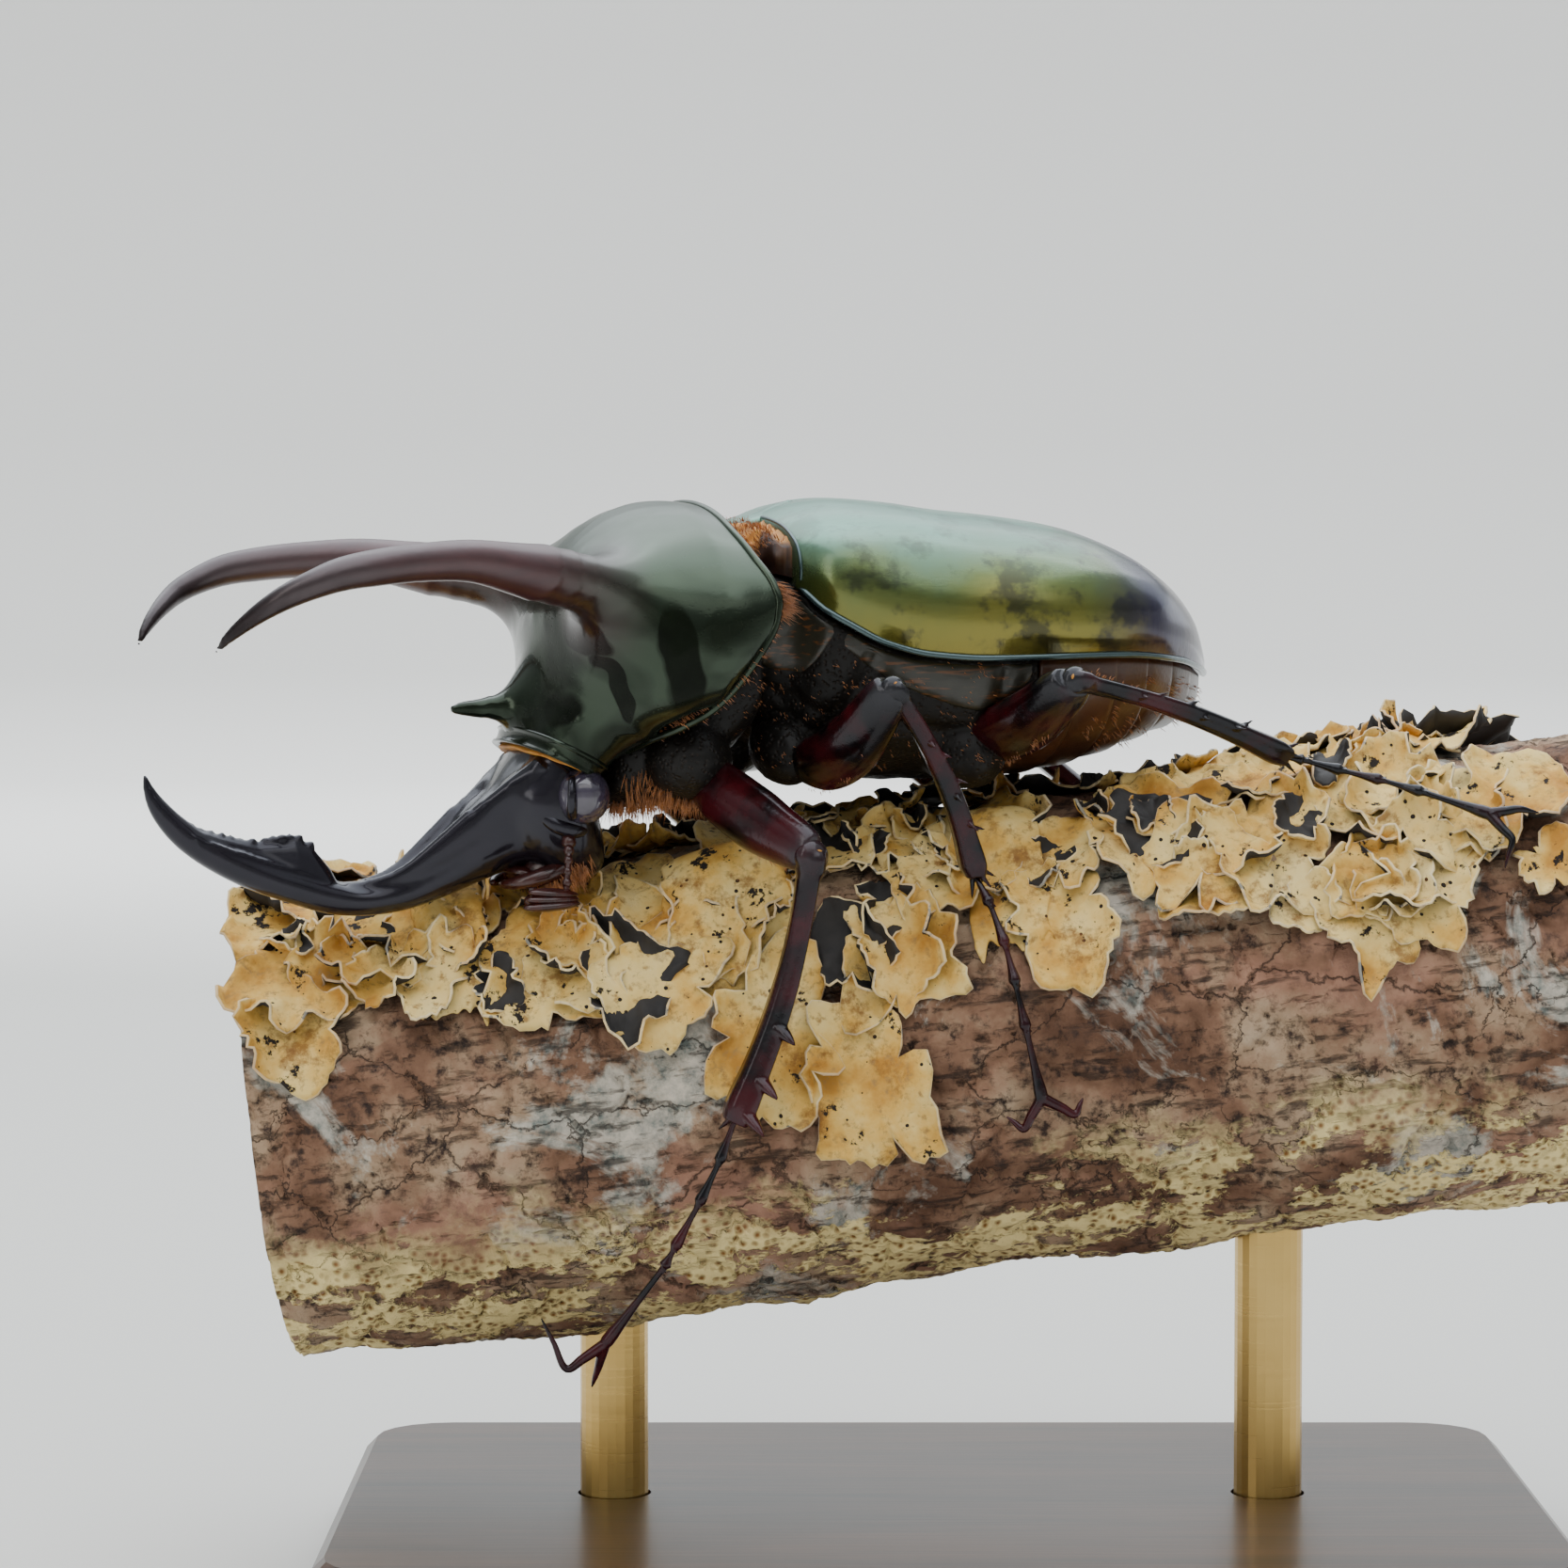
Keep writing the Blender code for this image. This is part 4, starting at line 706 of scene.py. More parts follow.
for keel in keels:
    round_off(skull, BVHTree.FromBMesh(keel), horn_tree, (1.0, 0.6), 8)
soften(skull, skull.verts, 3)
print("skull faces:", len(skull.faces), "teeth on the crest from x -45 to", round(x))

# %% [markdown]
# The eyes bulge at the sides of the head, under the hood, and a thin rib of shell, the canthus,
# runs up over each one from the cheek. The eye itself stays a piece of its own.

# %% Eyes and their ribs
EYE_AT = (-19.4, 7.75, -18.85)
EYE_RADIUS = 2.6
for side in (LEFT, RIGHT):
    middle = Vector((EYE_AT[0], side * EYE_AT[1], EYE_AT[2]))
    outward = Vector((-0.30, side * 0.95, 0.0)).normalized()
    rib = []
    for i in range(19):
        turn = radians(-105 + 165 * i / 18)
        way = outward * cos(turn) + Vector((0, 0, 1)) * sin(turn)
        spot = middle + way * (EYE_RADIUS * 0.86) - Vector((1.25, 0, 0))
        size = min(1.0, (i + 2) / 7)
        rib.append((*spot, (1.25 - 0.03 * i) * size, (0.9 - 0.02 * i) * size))
    join(skull, limb(rib, 12, (1, 0, 0)))
    cheek = [(-24.2, side * 4.8, -20.0, 0.5, 0.6), (-23.2, side * 6.1, -20.8, 1.3, 1.4),
             (-21.8, side * 6.9, -21.8, 1.6, 1.7),
             (-20.2, side * 7.0, -22.3, 1.5, 1.6), (-18.6, side * 6.3, -22.2, 1.0, 1.1),
             (-17.4, side * 5.0, -21.8, 0.4, 0.4)]
    join(skull, limb(cheek, 18, (0, 1, 0), 26))
    eye = bmesh.new()
    ball(eye, middle, (EYE_RADIUS, EYE_RADIUS * 0.96, EYE_RADIUS * 1.08), segments=40, rings=26)
    place(eye, f"eyeball_{SIDE_NAMES[side]}", eye_lens, "eye", (f"eye_{SIDE_NAMES[side]}",))
head_piece = place(skull, "head_and_horn", head_shell, "head", ("head", "head_horn"))
print("head triangles:", triangles(head_piece))

# %% [markdown]
# A scarab's feeler is a short jointed stalk that ends in a club of three flat leaves, which it
# spreads to smell with. The stalk is a row of little beads, and the leaves are flattened balls that
# fan out slightly. The two feelers are held differently, so each has points of its own.

# %% Feelers
FEELERS = {
    LEFT: {"stalk": [(-20.6, -6.6, -22.6), (-21.2, -8.4, -24.6), (-21.6, -9.2, -26.8), (-21.8, -9.5, -28.4)],
           "club": (-23.4, -9.6, -28.9), "rise": 0.0},
    RIGHT: {"stalk": [(-20.8, 5.4, -22.4), (-22.0, 8.6, -22.8), (-23.6, 10.6, -23.4), (-25.0, 11.3, -24.4)],
            "club": (-26.2, 11.4, -24.5), "rise": 12.0},
}
for side, feeler in FEELERS.items():
    bm = bmesh.new()
    stalk = [point + (1.0,) for point in feeler["stalk"]]
    line = through(stalk, 13)
    join(bm, limb([row[:3] + (0.62, 0.62) for row in line], 12, (1, 0.3, 0)))
    for i, size in ((1, 0.95), (2, 1.0), (4, 0.75), (6, 0.66), (8, 0.62), (10, 0.66), (12, 0.75)):
        along = (Vector(line[min(i + 1, 12)][:3])
                 - Vector(line[i - 1][:3])).to_track_quat("Z", "Y").to_matrix().to_4x4()
        ball(bm, line[i][:3], (size * 0.72, size * 0.72, size * 0.8), along, segments=16, rings=10)
    for leaf, shift in enumerate((-0.5, 0.0, 0.5)):
        fan = Matrix.Rotation(radians(feeler["rise"] + 4 * (leaf - 1)),
                              4, "Y") @ Matrix.Rotation(0.05 * (leaf - 1), 4, "Z")
        middle = Vector(feeler["club"]) + Vector((0.15 * leaf, shift * 0.4, shift * 1.15))
        ball(bm, middle, (2.9 - 0.15 * leaf, 1.3, 0.56), fan, segments=32, rings=14)
    place(bm, f"feeler_{SIDE_NAMES[side]}", feeler_shell, "feeler", (f"antenna_{SIDE_NAMES[side]}",))
print("feelers: 2, three leaves each")

# %% [markdown]
# Below the short, blunt jaws hang four palps, with which the beetle tastes. Each has three joints.

# %% Jaws and palps
mouth = bmesh.new()
ball(mouth, (-20.6, 0, -26.4), (3.7, 4.3, 2.0), segments=36, rings=20)
ball(mouth, (-23.6, 0, -26.9), (2.0, 3.4, 1.0), Matrix.Rotation(radians(18), 4, "Y"), segments=28, rings=14)
PALP_REACH = {LEFT: 3.4, RIGHT: 0.9}
for side in (LEFT, RIGHT):
    jaw = [(-20.4, side * 4.0, -26.2, 2.6, 2.0), (-22.4, side * 4.3, -26.9, 2.4, 1.8),
           (-24.4, side * 3.6, -27.5, 1.9, 1.5),
           (-25.7, side * 2.3, -27.8, 1.1, 1.0), (-26.1, side * 1.3, -27.9, 0.5, 0.5)]
    join(mouth, limb(jaw, 14, (0, 1, 0), 18))
    for x, y, share in ((-19.4, 3.0, 1.0), (-22.6, 1.9, 0.8)):
        low = -27.6 - PALP_REACH[side] * share
        palp = [(x, side * y, -26.6, 0.9, 0.9), (x - 0.3, side * (y + 0.9), -27.4, 1.0, 1.0),
                (x - 0.9, side * (y + 1.4), (low - 27.4) / 2, 1.1, 1.1),
                (x - 1.4, side * (y + 1.3), low, 0.5, 0.5)]
        swell = curve([(0, 1.0), (0.2, 1.15), (0.33, 0.55), (0.5, 1.15), (0.64, 0.55), (0.82, 1.2), (1, 0.6)])
        line = through(palp, 28)
        rows = [row[:3] + (row[3] * swell(i / 27), row[4] * swell(i / 27)) for i, row in enumerate(line)]
        join(mouth, limb(rows, 12, (1, 0, 0)))
place(mouth, "jaws_and_palps", feeler_shell, "feeler", ("mouthparts",))
print("jaws 2, palps 4")

# %% [markdown]
# The hardened fore wings, the elytra, close over the hind wings as a domed case. Thin layers in
# their shell colour what it mirrors: in the photograph a metallic olive green that turns golden on
# the flank, grey green on top and violet near the tail. So this finish is partly metallic, and a
# clear coat adds the pale gloss.

# %% Finish of the wing cases
wing_shell, tree, shader, where = new_finish("layered chitin, metallic bronze green", "5A5C24", 0.26,
                                             metallic=0.7)
length, height = (add("SeparateXYZ", {"Vector": where}, out=axis) for axis in "XZ")
drift = add("TexNoise", {"Vector": where, "Scale": 130.0, "Detail": 4.0})
wander = add("Math", {0: drift, 1: 0.007}, operation="MULTIPLY")
level = add("Math", {0: height, 1: wander}, operation="ADD")
climb = add("MapRange", {"Value": level}, span=(0.099, 0.112))
# Paler and bluer towards the top: partly the shell's own colour, partly a painted sheen of the light from above.
green = add("ValToRGB", {"Fac": climb},
            stops=((0.0, "80762F"), (0.25, "73702E"), (0.5, "5A6634"), (0.74, "4F6C55"), (1.0, "608A7A")))
blotch = add("TexNoise", {"Vector": where, "Scale": 230.0, "Detail": 6.0, "Roughness": 0.65})
blotches = add("MapRange", {"Value": blotch}, span=(0.50, 0.60))
# Dark blotches gather on the lower flank: partly the shell's own mottling, partly painted dark reflections.
dark_most = add("MapRange", {"Value": climb, "From Min": 0.4, "To Min": 0.74, "To Max": 0.28})
dark_share = add("Math", {0: blotches, 1: dark_most}, operation="MULTIPLY")
mottled = add("Mix", {"Factor": dark_share, "A": green, "B": "20231A"})
tail_way = add("Math", {0: length, 1: wander}, operation="ADD")
tail = add("MapRange", {"Value": tail_way}, span=(0.0115, 0.019))
violet = add("Math", {0: tail, 1: 0.9}, operation="MULTIPLY")
wing_tone = add("Mix", {"Factor": violet, "A": mottled, "B": "1D1440"})
rim = add("Attribute", {}, out="Fac", attribute_name="rim")
rimmed = add("Mix", {"Factor": rim, "A": wing_tone, "B": "46585A"})
# Fine lines along the wing, about 0.15 mm apart on the real one, drawn at 0.35 mm so that they show.
lengthwise = add("Mapping", {"Vector": where, "Scale": (260.0, 2800.0, 2800.0)})
lines = add("TexNoise", {"Vector": lengthwise, "Scale": 1.0, "Detail": 4.0})
line_bump = add("Bump", {"Strength": 0.35, "Distance": 0.00003, "Height": lines})
soft_bump = add("Bump", {"Strength": 0.35, "Distance": 0.0001, "Height": blotch, "Normal": line_bump})
# Low on the flank short upright wrinkles cross the lines, about 0.5 mm apart.
upright = add("Mapping", {"Vector": where, "Scale": (2300.0, 2300.0, 420.0)})
wrinkle = add("TexNoise", {"Vector": upright, "Scale": 1.0, "Detail": 3.0})
flank_only = add("MapRange", {"Value": climb}, span=(0.45, 0.1))
wrinkles = add("Math", {0: wrinkle, 1: flank_only}, operation="MULTIPLY")
wrinkle_bump = add("Bump", {"Strength": 0.5, "Distance": 0.00005, "Height": wrinkles, "Normal": soft_bump})
gloss = add("MapRange", {"Value": lines, "To Min": 0.15, "To Max": 0.28})
bloom = add("MapRange", {"Value": climb, "To Max": 0.2}, span=(0.45, 1.0))
satin = add("Math", {0: gloss, 1: bloom}, operation="ADD")
feed(shader, {"Base Color": rimmed, "Normal": wrinkle_bump, "Roughness": satin, "Coat Weight": 0.35,
              "Coat Roughness": 0.16})
print("finish:", wing_shell.name)

# %% [markdown]
# Each wing case is lofted from front to back as half a dome with its edge rolled under, so that it is
# a real shell, and a thin bead runs along its outer edge.

# %% The wing cases
WING_HALF = 23.0
wing_top = curve([(0.8, 8.8), (4, 10), (8, 10.6), (13, 10.3), (19, 9.5), (25, 8.9), (31, 8.0), (36.8, 6.1),
                  (42, 3.3),
                  (45.4, 0.6), (47.2, -2.2), (48.8, -5.0), (50, -7.4)])
wing_rim = curve([(-1.8, 2.4), (0.8, 1.4), (2.5, -0.6), (4.2, -1.8), (8, -3.9), (12.3, -5), (18, -5.4),
                  (32, -5.2),
                  (41, -5.9), (46, -6.9), (50, -7.9)])
wing_half = curve([(-1.8, 0.60), (0.8, 0.66), (3, 0.79), (7, 0.88), (13, 0.94), (20, 0.98), (26, 1), (32, 0.97),
                   (37, 0.87), (41.5, 0.70), (45, 0.52), (47.6, 0.34), (49.2, 0.20), (50, 0.09)])
SUTURE = 0.12
RIM_INSET = 0.955


def under_wing(x, share):
    """Height of the wing cases' underside, from the midline (share 0) to the rim (share 1)."""
    return wing_rim(x) + 0.15 + 0.34 * (wing_top(x) - wing_rim(x)) * cos(share * pi / 2)


def wing_ring(x, side, drawn_in):
    half, top, rim = wing_half(x) * WING_HALF, wing_top(x), wing_rim(x)
    widest = rim + 0.26 * (top - rim)
    ring = []
    for k in range(34):
        share = k / 33
        across, up = superellipse(pi / 2 * share, 2.25)
        shoulder = (0.45 * bell(x, 5.5, 2.6) * bell(share, 0.72, 0.12)
                    + 0.3 * bell(x, 40, 3.0) * bell(share, 0.6, 0.14))
        ribs = 0.05 * sin(share * 19) * bell(share, 0.45, 0.35)
        reach = 1 + (shoulder + ribs) / half
        ring.append((SUTURE + across * (half - SUTURE) * reach, widest + up * (top - widest) * reach))
    ring += [(half * 0.995, widest + 0.75 * (rim - widest) * 0.6), (half * 0.99, (widest + rim) / 2),
             (half * 0.975, rim + 0.12 * (widest - rim)), (half * RIM_INSET, rim)]
    ring += [(SUTURE + share * (half * RIM_INSET - 0.9), under_wing(x, share))
             for share in (1.0, 0.8, 0.6, 0.4, 0.2, 0.0)]
    middle = (half * 0.45, (widest + rim) / 2)
    return [(x, side * (y + (middle[0] - y) * drawn_in), z + (middle[1] - z) * drawn_in) for y, z in ring]


fronts = [(0.55, 0.10), (0.62, 0.05), (0.8, 0.02), (1.1, 0.005), (1.5, 0.0)]
ends = [(50.0 - 48.2 * (1 - i / 56), 0.0) for i in range(57)]
for side in (LEFT, RIGHT):
    wing = loft([wing_ring(x, side, drawn_in) for x, drawn_in in fronts + ends])
    shell_corners = len(wing.verts)
    edge_line = [(x, side * wing_half(x) * WING_HALF * 0.972, wing_rim(x) + 0.14)
                 for x in [0.7 + 49.2 * i / 110 for i in range(111)]]
    bead(wing, edge_line, 0.66, 0.56)
    front_line = [(0.75, side * y, z) for _, y, z in wing_ring(0.8, 1.0, 0.02)[3:36]]
    bead(wing, front_line, 0.36, 0.36)
    store(wing, "rim", lambda index, _: float(index >= shell_corners))
    made = place(wing, f"wing_case_{SIDE_NAMES[side]}", wing_shell, "wing_case", (f"elytron_{SIDE_NAMES[side]}",))
print("wing case triangles:", triangles(made))

# %% [markdown]
# Between the shoulders of the wing cases lies the scutellum, a small shield of its own shell.

# %% The small plate between the wing cases
rings = []
for x, half in ((-1.6, 3.4), (-0.6, 3.7), (0.4, 3.7), (1.4, 3.35), (2.4, 2.6), (3.4, 1.8), (4.4, 1.0),
                (5.2, 0.35)):
    top = wing_top(max(x, 0.8)) + 0.1 + 0.5 * min(x, 0.0)
    ring = [(x, -half, top - 1.4), (x, -half * 1.02, top - 0.7), (x, -half * 0.93, top - 0.36)]
    ring += [(x, half * share, top - 0.36 * share * share * 1.2) for share in (-0.7, -0.35, 0.0, 0.35, 0.7)]
    ring += [(x, half * 0.93, top - 0.36), (x, half * 1.02, top - 0.7), (x, half, top - 1.4), (x, 0, top - 1.5)]
    rings.append(ring)
small_plate = loft(rings)
bmesh.ops.subdivide_edges(small_plate, edges=small_plate.edges, cuts=1, use_grid_fill=True, smooth=0.6)
place(small_plate, "scutellum_plate", wing_shell, "wing_case", ("scutellum",))
print("scutellum 7 mm across")

# %% [markdown]
# Under the wing cases the body is black, dull and covered with fine pits, each with a short hair
# that gives a faint pale bloom at grazing angles, which is the sheen here. The belly is browner and
# smoother. The pits are about 0.3 mm apart and drawn at 0.5 mm, so that they show.

# %% Finishes of the underside and the belly
pitted_shell, tree, shader, where = new_finish("pitted black chitin with short pale down", "120F0D", 0.46,
                                               ior=1.54)
under_tone = two_toned("050404", "14100D", 200.0, 5.0)
pits = add("TexVoronoi", {"Vector": where, "Scale": 1900.0})
dents = add("MapRange", {"Value": pits}, span=(0.06, 0.42))
speckled = add("Mix", {"Factor": dents, "A": "1E1610", "B": under_tone})
pit_bump = add("Bump", {"Strength": 0.8, "Distance": 0.00012, "Height": dents})
feed(shader, {"Base Color": speckled, "Normal": pit_bump, "Specular IOR Level": 0.22, "Sheen Weight": 0.02,
              "Sheen Tint": "B9A58A"})

belly_shell, tree, shader, where = new_finish("satin brown chitin of the belly", "3B2113", 0.32, ior=1.54)
belly_tone = two_toned("170D09", "5C351B", 240.0, 5.0)
pits = add("TexVoronoi", {"Vector": where, "Scale": 2400.0})
pit_bump = add("Bump", {"Strength": 0.4, "Distance": 0.00004, "Height": pits})
feed(shader, {"Base Color": belly_tone, "Normal": pit_bump})
print("finishes:", pitted_shell.name, "|", belly_shell.name)

# %% [markdown]
# The thorax carries the legs. It is lofted in two lengths, the front one under the shield, and the
# swellings of the legs' sockets are fused on to it. Shallow grooves part its side plates.

# %% The thorax
def belly_half(x):
    return wing_half(x) * WING_HALF * RIM_INSET - 1.2


def belly_ring(x, width, bottom, top=None, sides=72, groove=None):
    """A section of the body under the wing cases, whose top follows their underside."""
    arch = sides // 3
    ring = []
    for k in range(arch):
        share = 2 * k / (arch - 1) - 1
        if top is None:
            z = under_wing(x, abs(share)) - 0.3
        else:
            z = wing_rim(x) + (top - wing_rim(x)) * (1 - share ** 4)
        ring.append((x, share * width, z))
    edge = ring[0][2]
    for k in range(1, sides - arch + 1):
        angle = pi * k / (sides - arch + 1)
        across = copysign(abs(cos(angle)) ** (2 / 2.3), cos(angle))
        in_by = 1 - (groove(x, degrees(min(angle, pi - angle))) if groove else 0.0)
        ring.append((x, across * width * in_by, edge - (edge - bottom) * sin(angle) ** (2 / 2.3) * in_by))
    return ring


def plate_grooves(x, turn):
    """Depth of the thorax's grooves, as a share of its size, at a place on its flank."""
    slant = bell(x, 7.5 - turn * 0.08, 0.6) + bell(x, 20.5 - turn * 0.05, 0.55)
    length = bell(turn, 24 + 0.5 * x, 2.8) * (1 if x > 7 else 0) + bell(turn, 40 - x * 1.2,
                                                                        2.6) * (1 if x < 7 else 0)
    return 0.036 * min(1.0, slant + length)


thorax_low = curve([(-8, -10.0), (-1.8, -12.5), (1, -14.8), (5, -16.8), (10, -17.8), (16, -18.1), (22, -18.0),
                    (24, -17.8)])
thorax = bmesh.new()
places = [-7.0, -5.5, -4.0, -2.8, -1.8] + [-1.4 + 25.2 * i / 70 for i in range(71)]
hind_rings = []
for x in places:
    blend = min(1.0, max(0.0, (x - 0.2) / 1.8))
    neck = 6.4 * (1 - blend) + (under_wing(x, 0.0) - 0.3) * blend
    hind_rings.append(belly_ring(x, belly_half(x) * (0.93 if x < -2 else 1), thorax_low(x),
                                 top=neck if blend < 1 else None, groove=plate_grooves))
join(thorax, loft(hind_rings))
FORE_STATIONS = [(-16.6, -17, -18.9, 4.5), (-15.4, -12, -20.0, 7.5), (-12, -8, -20.2, 9.6), (-8, -6, -18.6, 11),
                 (-4.5, -2, -15.8, 12), (-2.2, 0, -13.2, 12.6)]
fore_rings = []
for x, _, top, low, half in through([(x, 0, t, l, h) for x, t, l, h in FORE_STATIONS], 34):
    turns = [superellipse(2 * pi * k / 64, 2.4) for k in range(64)]
    fore_rings.append([(x, across * half, (top + low) / 2 + up * (top - low) / 2) for across, up in turns])
join(thorax, loft(fore_rings))
for side in (LEFT, RIGHT):
    lean = Matrix.Rotation(side * radians(-24), 4, "X")
    ball(thorax, (-9.0, side * 8.6, -15.4), (4.4, 5.8, 4.0), segments=40, rings=24)
    ball(thorax, (1.6, side * 8.0, -14.4), (3.6, 4.8, 3.5), lean, segments=40, rings=24)
    ball(thorax, (18.6, side * 11.3, -13.2), (4.8, 8.0, 4.6), lean, segments=40, rings=24)
fused = fuse([thorax], BODY_VOXEL, 0.5)
soften(fused, fused.verts, 4)
fused.normal_update()
for vert in fused.verts:
    vert.co += vert.normal * 0.10 * noise.fractal(vert.co * 0.55, 0.8, 2.1, 4)
thorax_tree = BVHTree.FromBMesh(fused)
made = place(fused, "thorax_underside", pitted_shell, "underside", ("fore_thorax", "hind_thorax"))
print("thorax triangles:", triangles(made))

# %% [markdown]
# Each ring of the belly overlaps the next one by a small step, so the outline is a saw blade with
# gentle teeth: slowly rising along a ring, then dropping at its hind edge.

# %% The belly's rings
belly_low = curve([(24, -17.7), (29, -17.2), (34, -16.2), (39, -14.7), (44, -13.2), (47.5, -12.2), (50, -10.9)])
SEGMENT_ENDS = (24.0, 28.3, 32.6, 36.8, 41.0, 45.0, 49.8)
rings = []
for x, following in zip(SEGMENT_ENDS, SEGMENT_ENDS[1:]):
    last = following == SEGMENT_ENDS[-1]
    for share, proud in ((0.0, -0.25), (0.05, 0.0), (0.3, 0.15), (0.6, 0.3), (0.85, 0.42), (0.93, 0.45),
                         (0.97, 0.3)):
        here = x + (following - x) * share
        proud = 0.0 if last else proud
        width = max(belly_half(here) + proud * 0.35, 1.2)
        rings.append(belly_ring(here, width, belly_low(here) - proud, sides=96))
x = SEGMENT_ENDS[-1]
rings.append(belly_ring(x, 1.2, belly_low(x) + 0.4, sides=96))
belly = loft(rings)
belly_tree = BVHTree.FromBMesh(belly)
made = place(belly, "belly_rings", belly_shell, "belly", ("abdomen",))
print("belly triangles:", triangles(made))

# %% [markdown]
# Two crowned plates of shell close the side of the body below each wing case and catch the light on
# their own. Each is a grid of points thrown on to the thorax by rays from the side and raised in
# its middle; its margins sink into the thorax, so no wall shows.

# %% The side plates
side_shell, tree, shader, where = new_finish("satin olive grey chitin", "2B2A22", 0.34, ior=1.54)
plate_tone = two_toned("12120E", "39362A", 300.0, 5.0)
scratch_place = add("Mapping", {"Vector": where, "Scale": (260.0, 900.0, 2600.0)})
scratch = add("TexNoise", {"Vector": scratch_place, "Scale": 1.0, "Detail": 4.0})
scratches = add("MapRange", {"Value": scratch, "To Max": 0.7}, span=(0.56, 0.64))
scratched = add("Mix", {"Factor": scratches, "A": plate_tone, "B": "6E4322"})
scratch_bump = add("Bump", {"Strength": 0.4, "Distance": 0.00004, "Height": scratch})
feed(shader, {"Base Color": scratched, "Normal": scratch_bump})


def side_plate(bm, side, first, last, slant, depth, crown):
    """Lays a crowned plate on the flank, from first to last along it; depth is how far down it reaches."""
    sheet = bmesh.new()
    bmesh.ops.create_grid(sheet, x_segments=64, y_segments=18, size=1.0)
    for vert in sheet.verts:
        along, down = (vert.co.x + 1) / 2, (vert.co.y + 1) / 2
        x = first + (last - first) * along - slant * down
        z = wing_rim(x) - 0.4 - depth(along) * down
        hit = thorax_tree.ray_cast(Vector((x, side * 40, z)), Vector((0, -side, 0)), 60.0)[0]
        rise = crown * (1 - abs(2 * down - 1) ** 5) * (1 - abs(2 * along - 1) ** 12) - 0.15
        vert.co = Vector((x, (hit.y if hit else side * belly_half(x)) + side * rise, z))
    bmesh.ops.solidify(sheet, geom=list(sheet.faces), thickness=0.25)
    face_out(sheet)
    join(bm, sheet)


side_plates = bmesh.new()
for side in (LEFT, RIGHT):
    side_plate(side_plates, side, 4.6, 23.6, 0.6,
               curve([(0, 1.4), (0.45, 3.4), (0.74, 4.5), (0.9, 3.0), (1, 1.6)]), 0.42)
    side_plate(side_plates, side, -0.6, 4.0, 2.6, curve([(0, 7.6), (0.5, 8.0), (1, 7.2)]), 0.40)
place(side_plates, "side_plates", side_shell, "underside")
print("side plates: 4")

# %% [markdown]
# The legs are black where they are thick and wine red where light gets into them, with a painted grey
# highlight on the knees, which the attribute tint marks. Fine wrinkles and scattered pits break up the gloss.

# %% Finish of the legs
leg_shell, tree, shader, where = new_finish("hardened chitin, black with wine red", "1C0A0B", 0.18, ior=1.56)
painted_knee_highlights = add("Attribute", {}, out="Fac", attribute_name="tint")
clouds = add("TexNoise", {"Vector": where, "Scale": 170.0, "Detail": 4.0})
reds = add("MapRange", {"Value": clouds}, span=(0.42, 0.62))
red_tone = add("Mix", {"Factor": reds, "A": "080506", "B": "3A0B11"})
# The grey on the knees and ankles is a painted highlight.
leg_tone = add("Mix", {"Factor": painted_knee_highlights, "A": red_tone, "B": "36363A"})
pits = add("TexVoronoi", {"Vector": where, "Scale": 1800.0})
dents = add("MapRange", {"Value": pits}, span=(0.04, 0.25))
pit_bump = add("Bump", {"Strength": 0.4, "Distance": 0.00003, "Height": dents})
fine = add("TexNoise", {"Vector": where, "Scale": 1300.0, "Detail": 4.0})
fine_bump = add("Bump", {"Strength": 0.5, "Distance": 0.00006, "Height": fine, "Normal": pit_bump})
feed(shader, {"Base Color": leg_tone, "Normal": fine_bump, "Specular IOR Level": 0.33,
              "Specular Tint": "DADCE6", "Coat Weight": 0.12, "Coat Roughness": 0.1})
print("finish:", leg_shell.name)

# %% [markdown]
# Every leg holds on to something real, so its points are given as the photograph shows them: hip,
# knee, ankle, the joints of the foot and its two claws. The far legs grip the far side of the
# branch, and a point on the bark is easiest to give along the branch and round it.

# %% Where the branch is, and the points of the legs
BRANCH_AT = Vector((16.4, 0, -46.2))
BRANCH_RADIUS = 23.6
BRANCH_YAW, BRANCH_RISE = radians(-20), radians(7.2)
BRANCH_ALONG = Vector((cos(BRANCH_RISE) * cos(BRANCH_YAW), cos(BRANCH_RISE) * sin(BRANCH_YAW), sin(BRANCH_RISE)))
BRANCH_NEAR = Vector((sin(BRANCH_YAW), -cos(BRANCH_YAW), 0))
BRANCH_UP = BRANCH_NEAR.cross(BRANCH_ALONG)


def on_branch(along, angle, proud):
    """A point by the branch: how far along it, how many degrees from its top to the near side, how proud."""
    a = radians(angle)
    out = BRANCH_UP * cos(a) + BRANCH_NEAR * sin(a)
    return tuple(BRANCH_AT + BRANCH_ALONG * along + out * (BRANCH_RADIUS + proud))


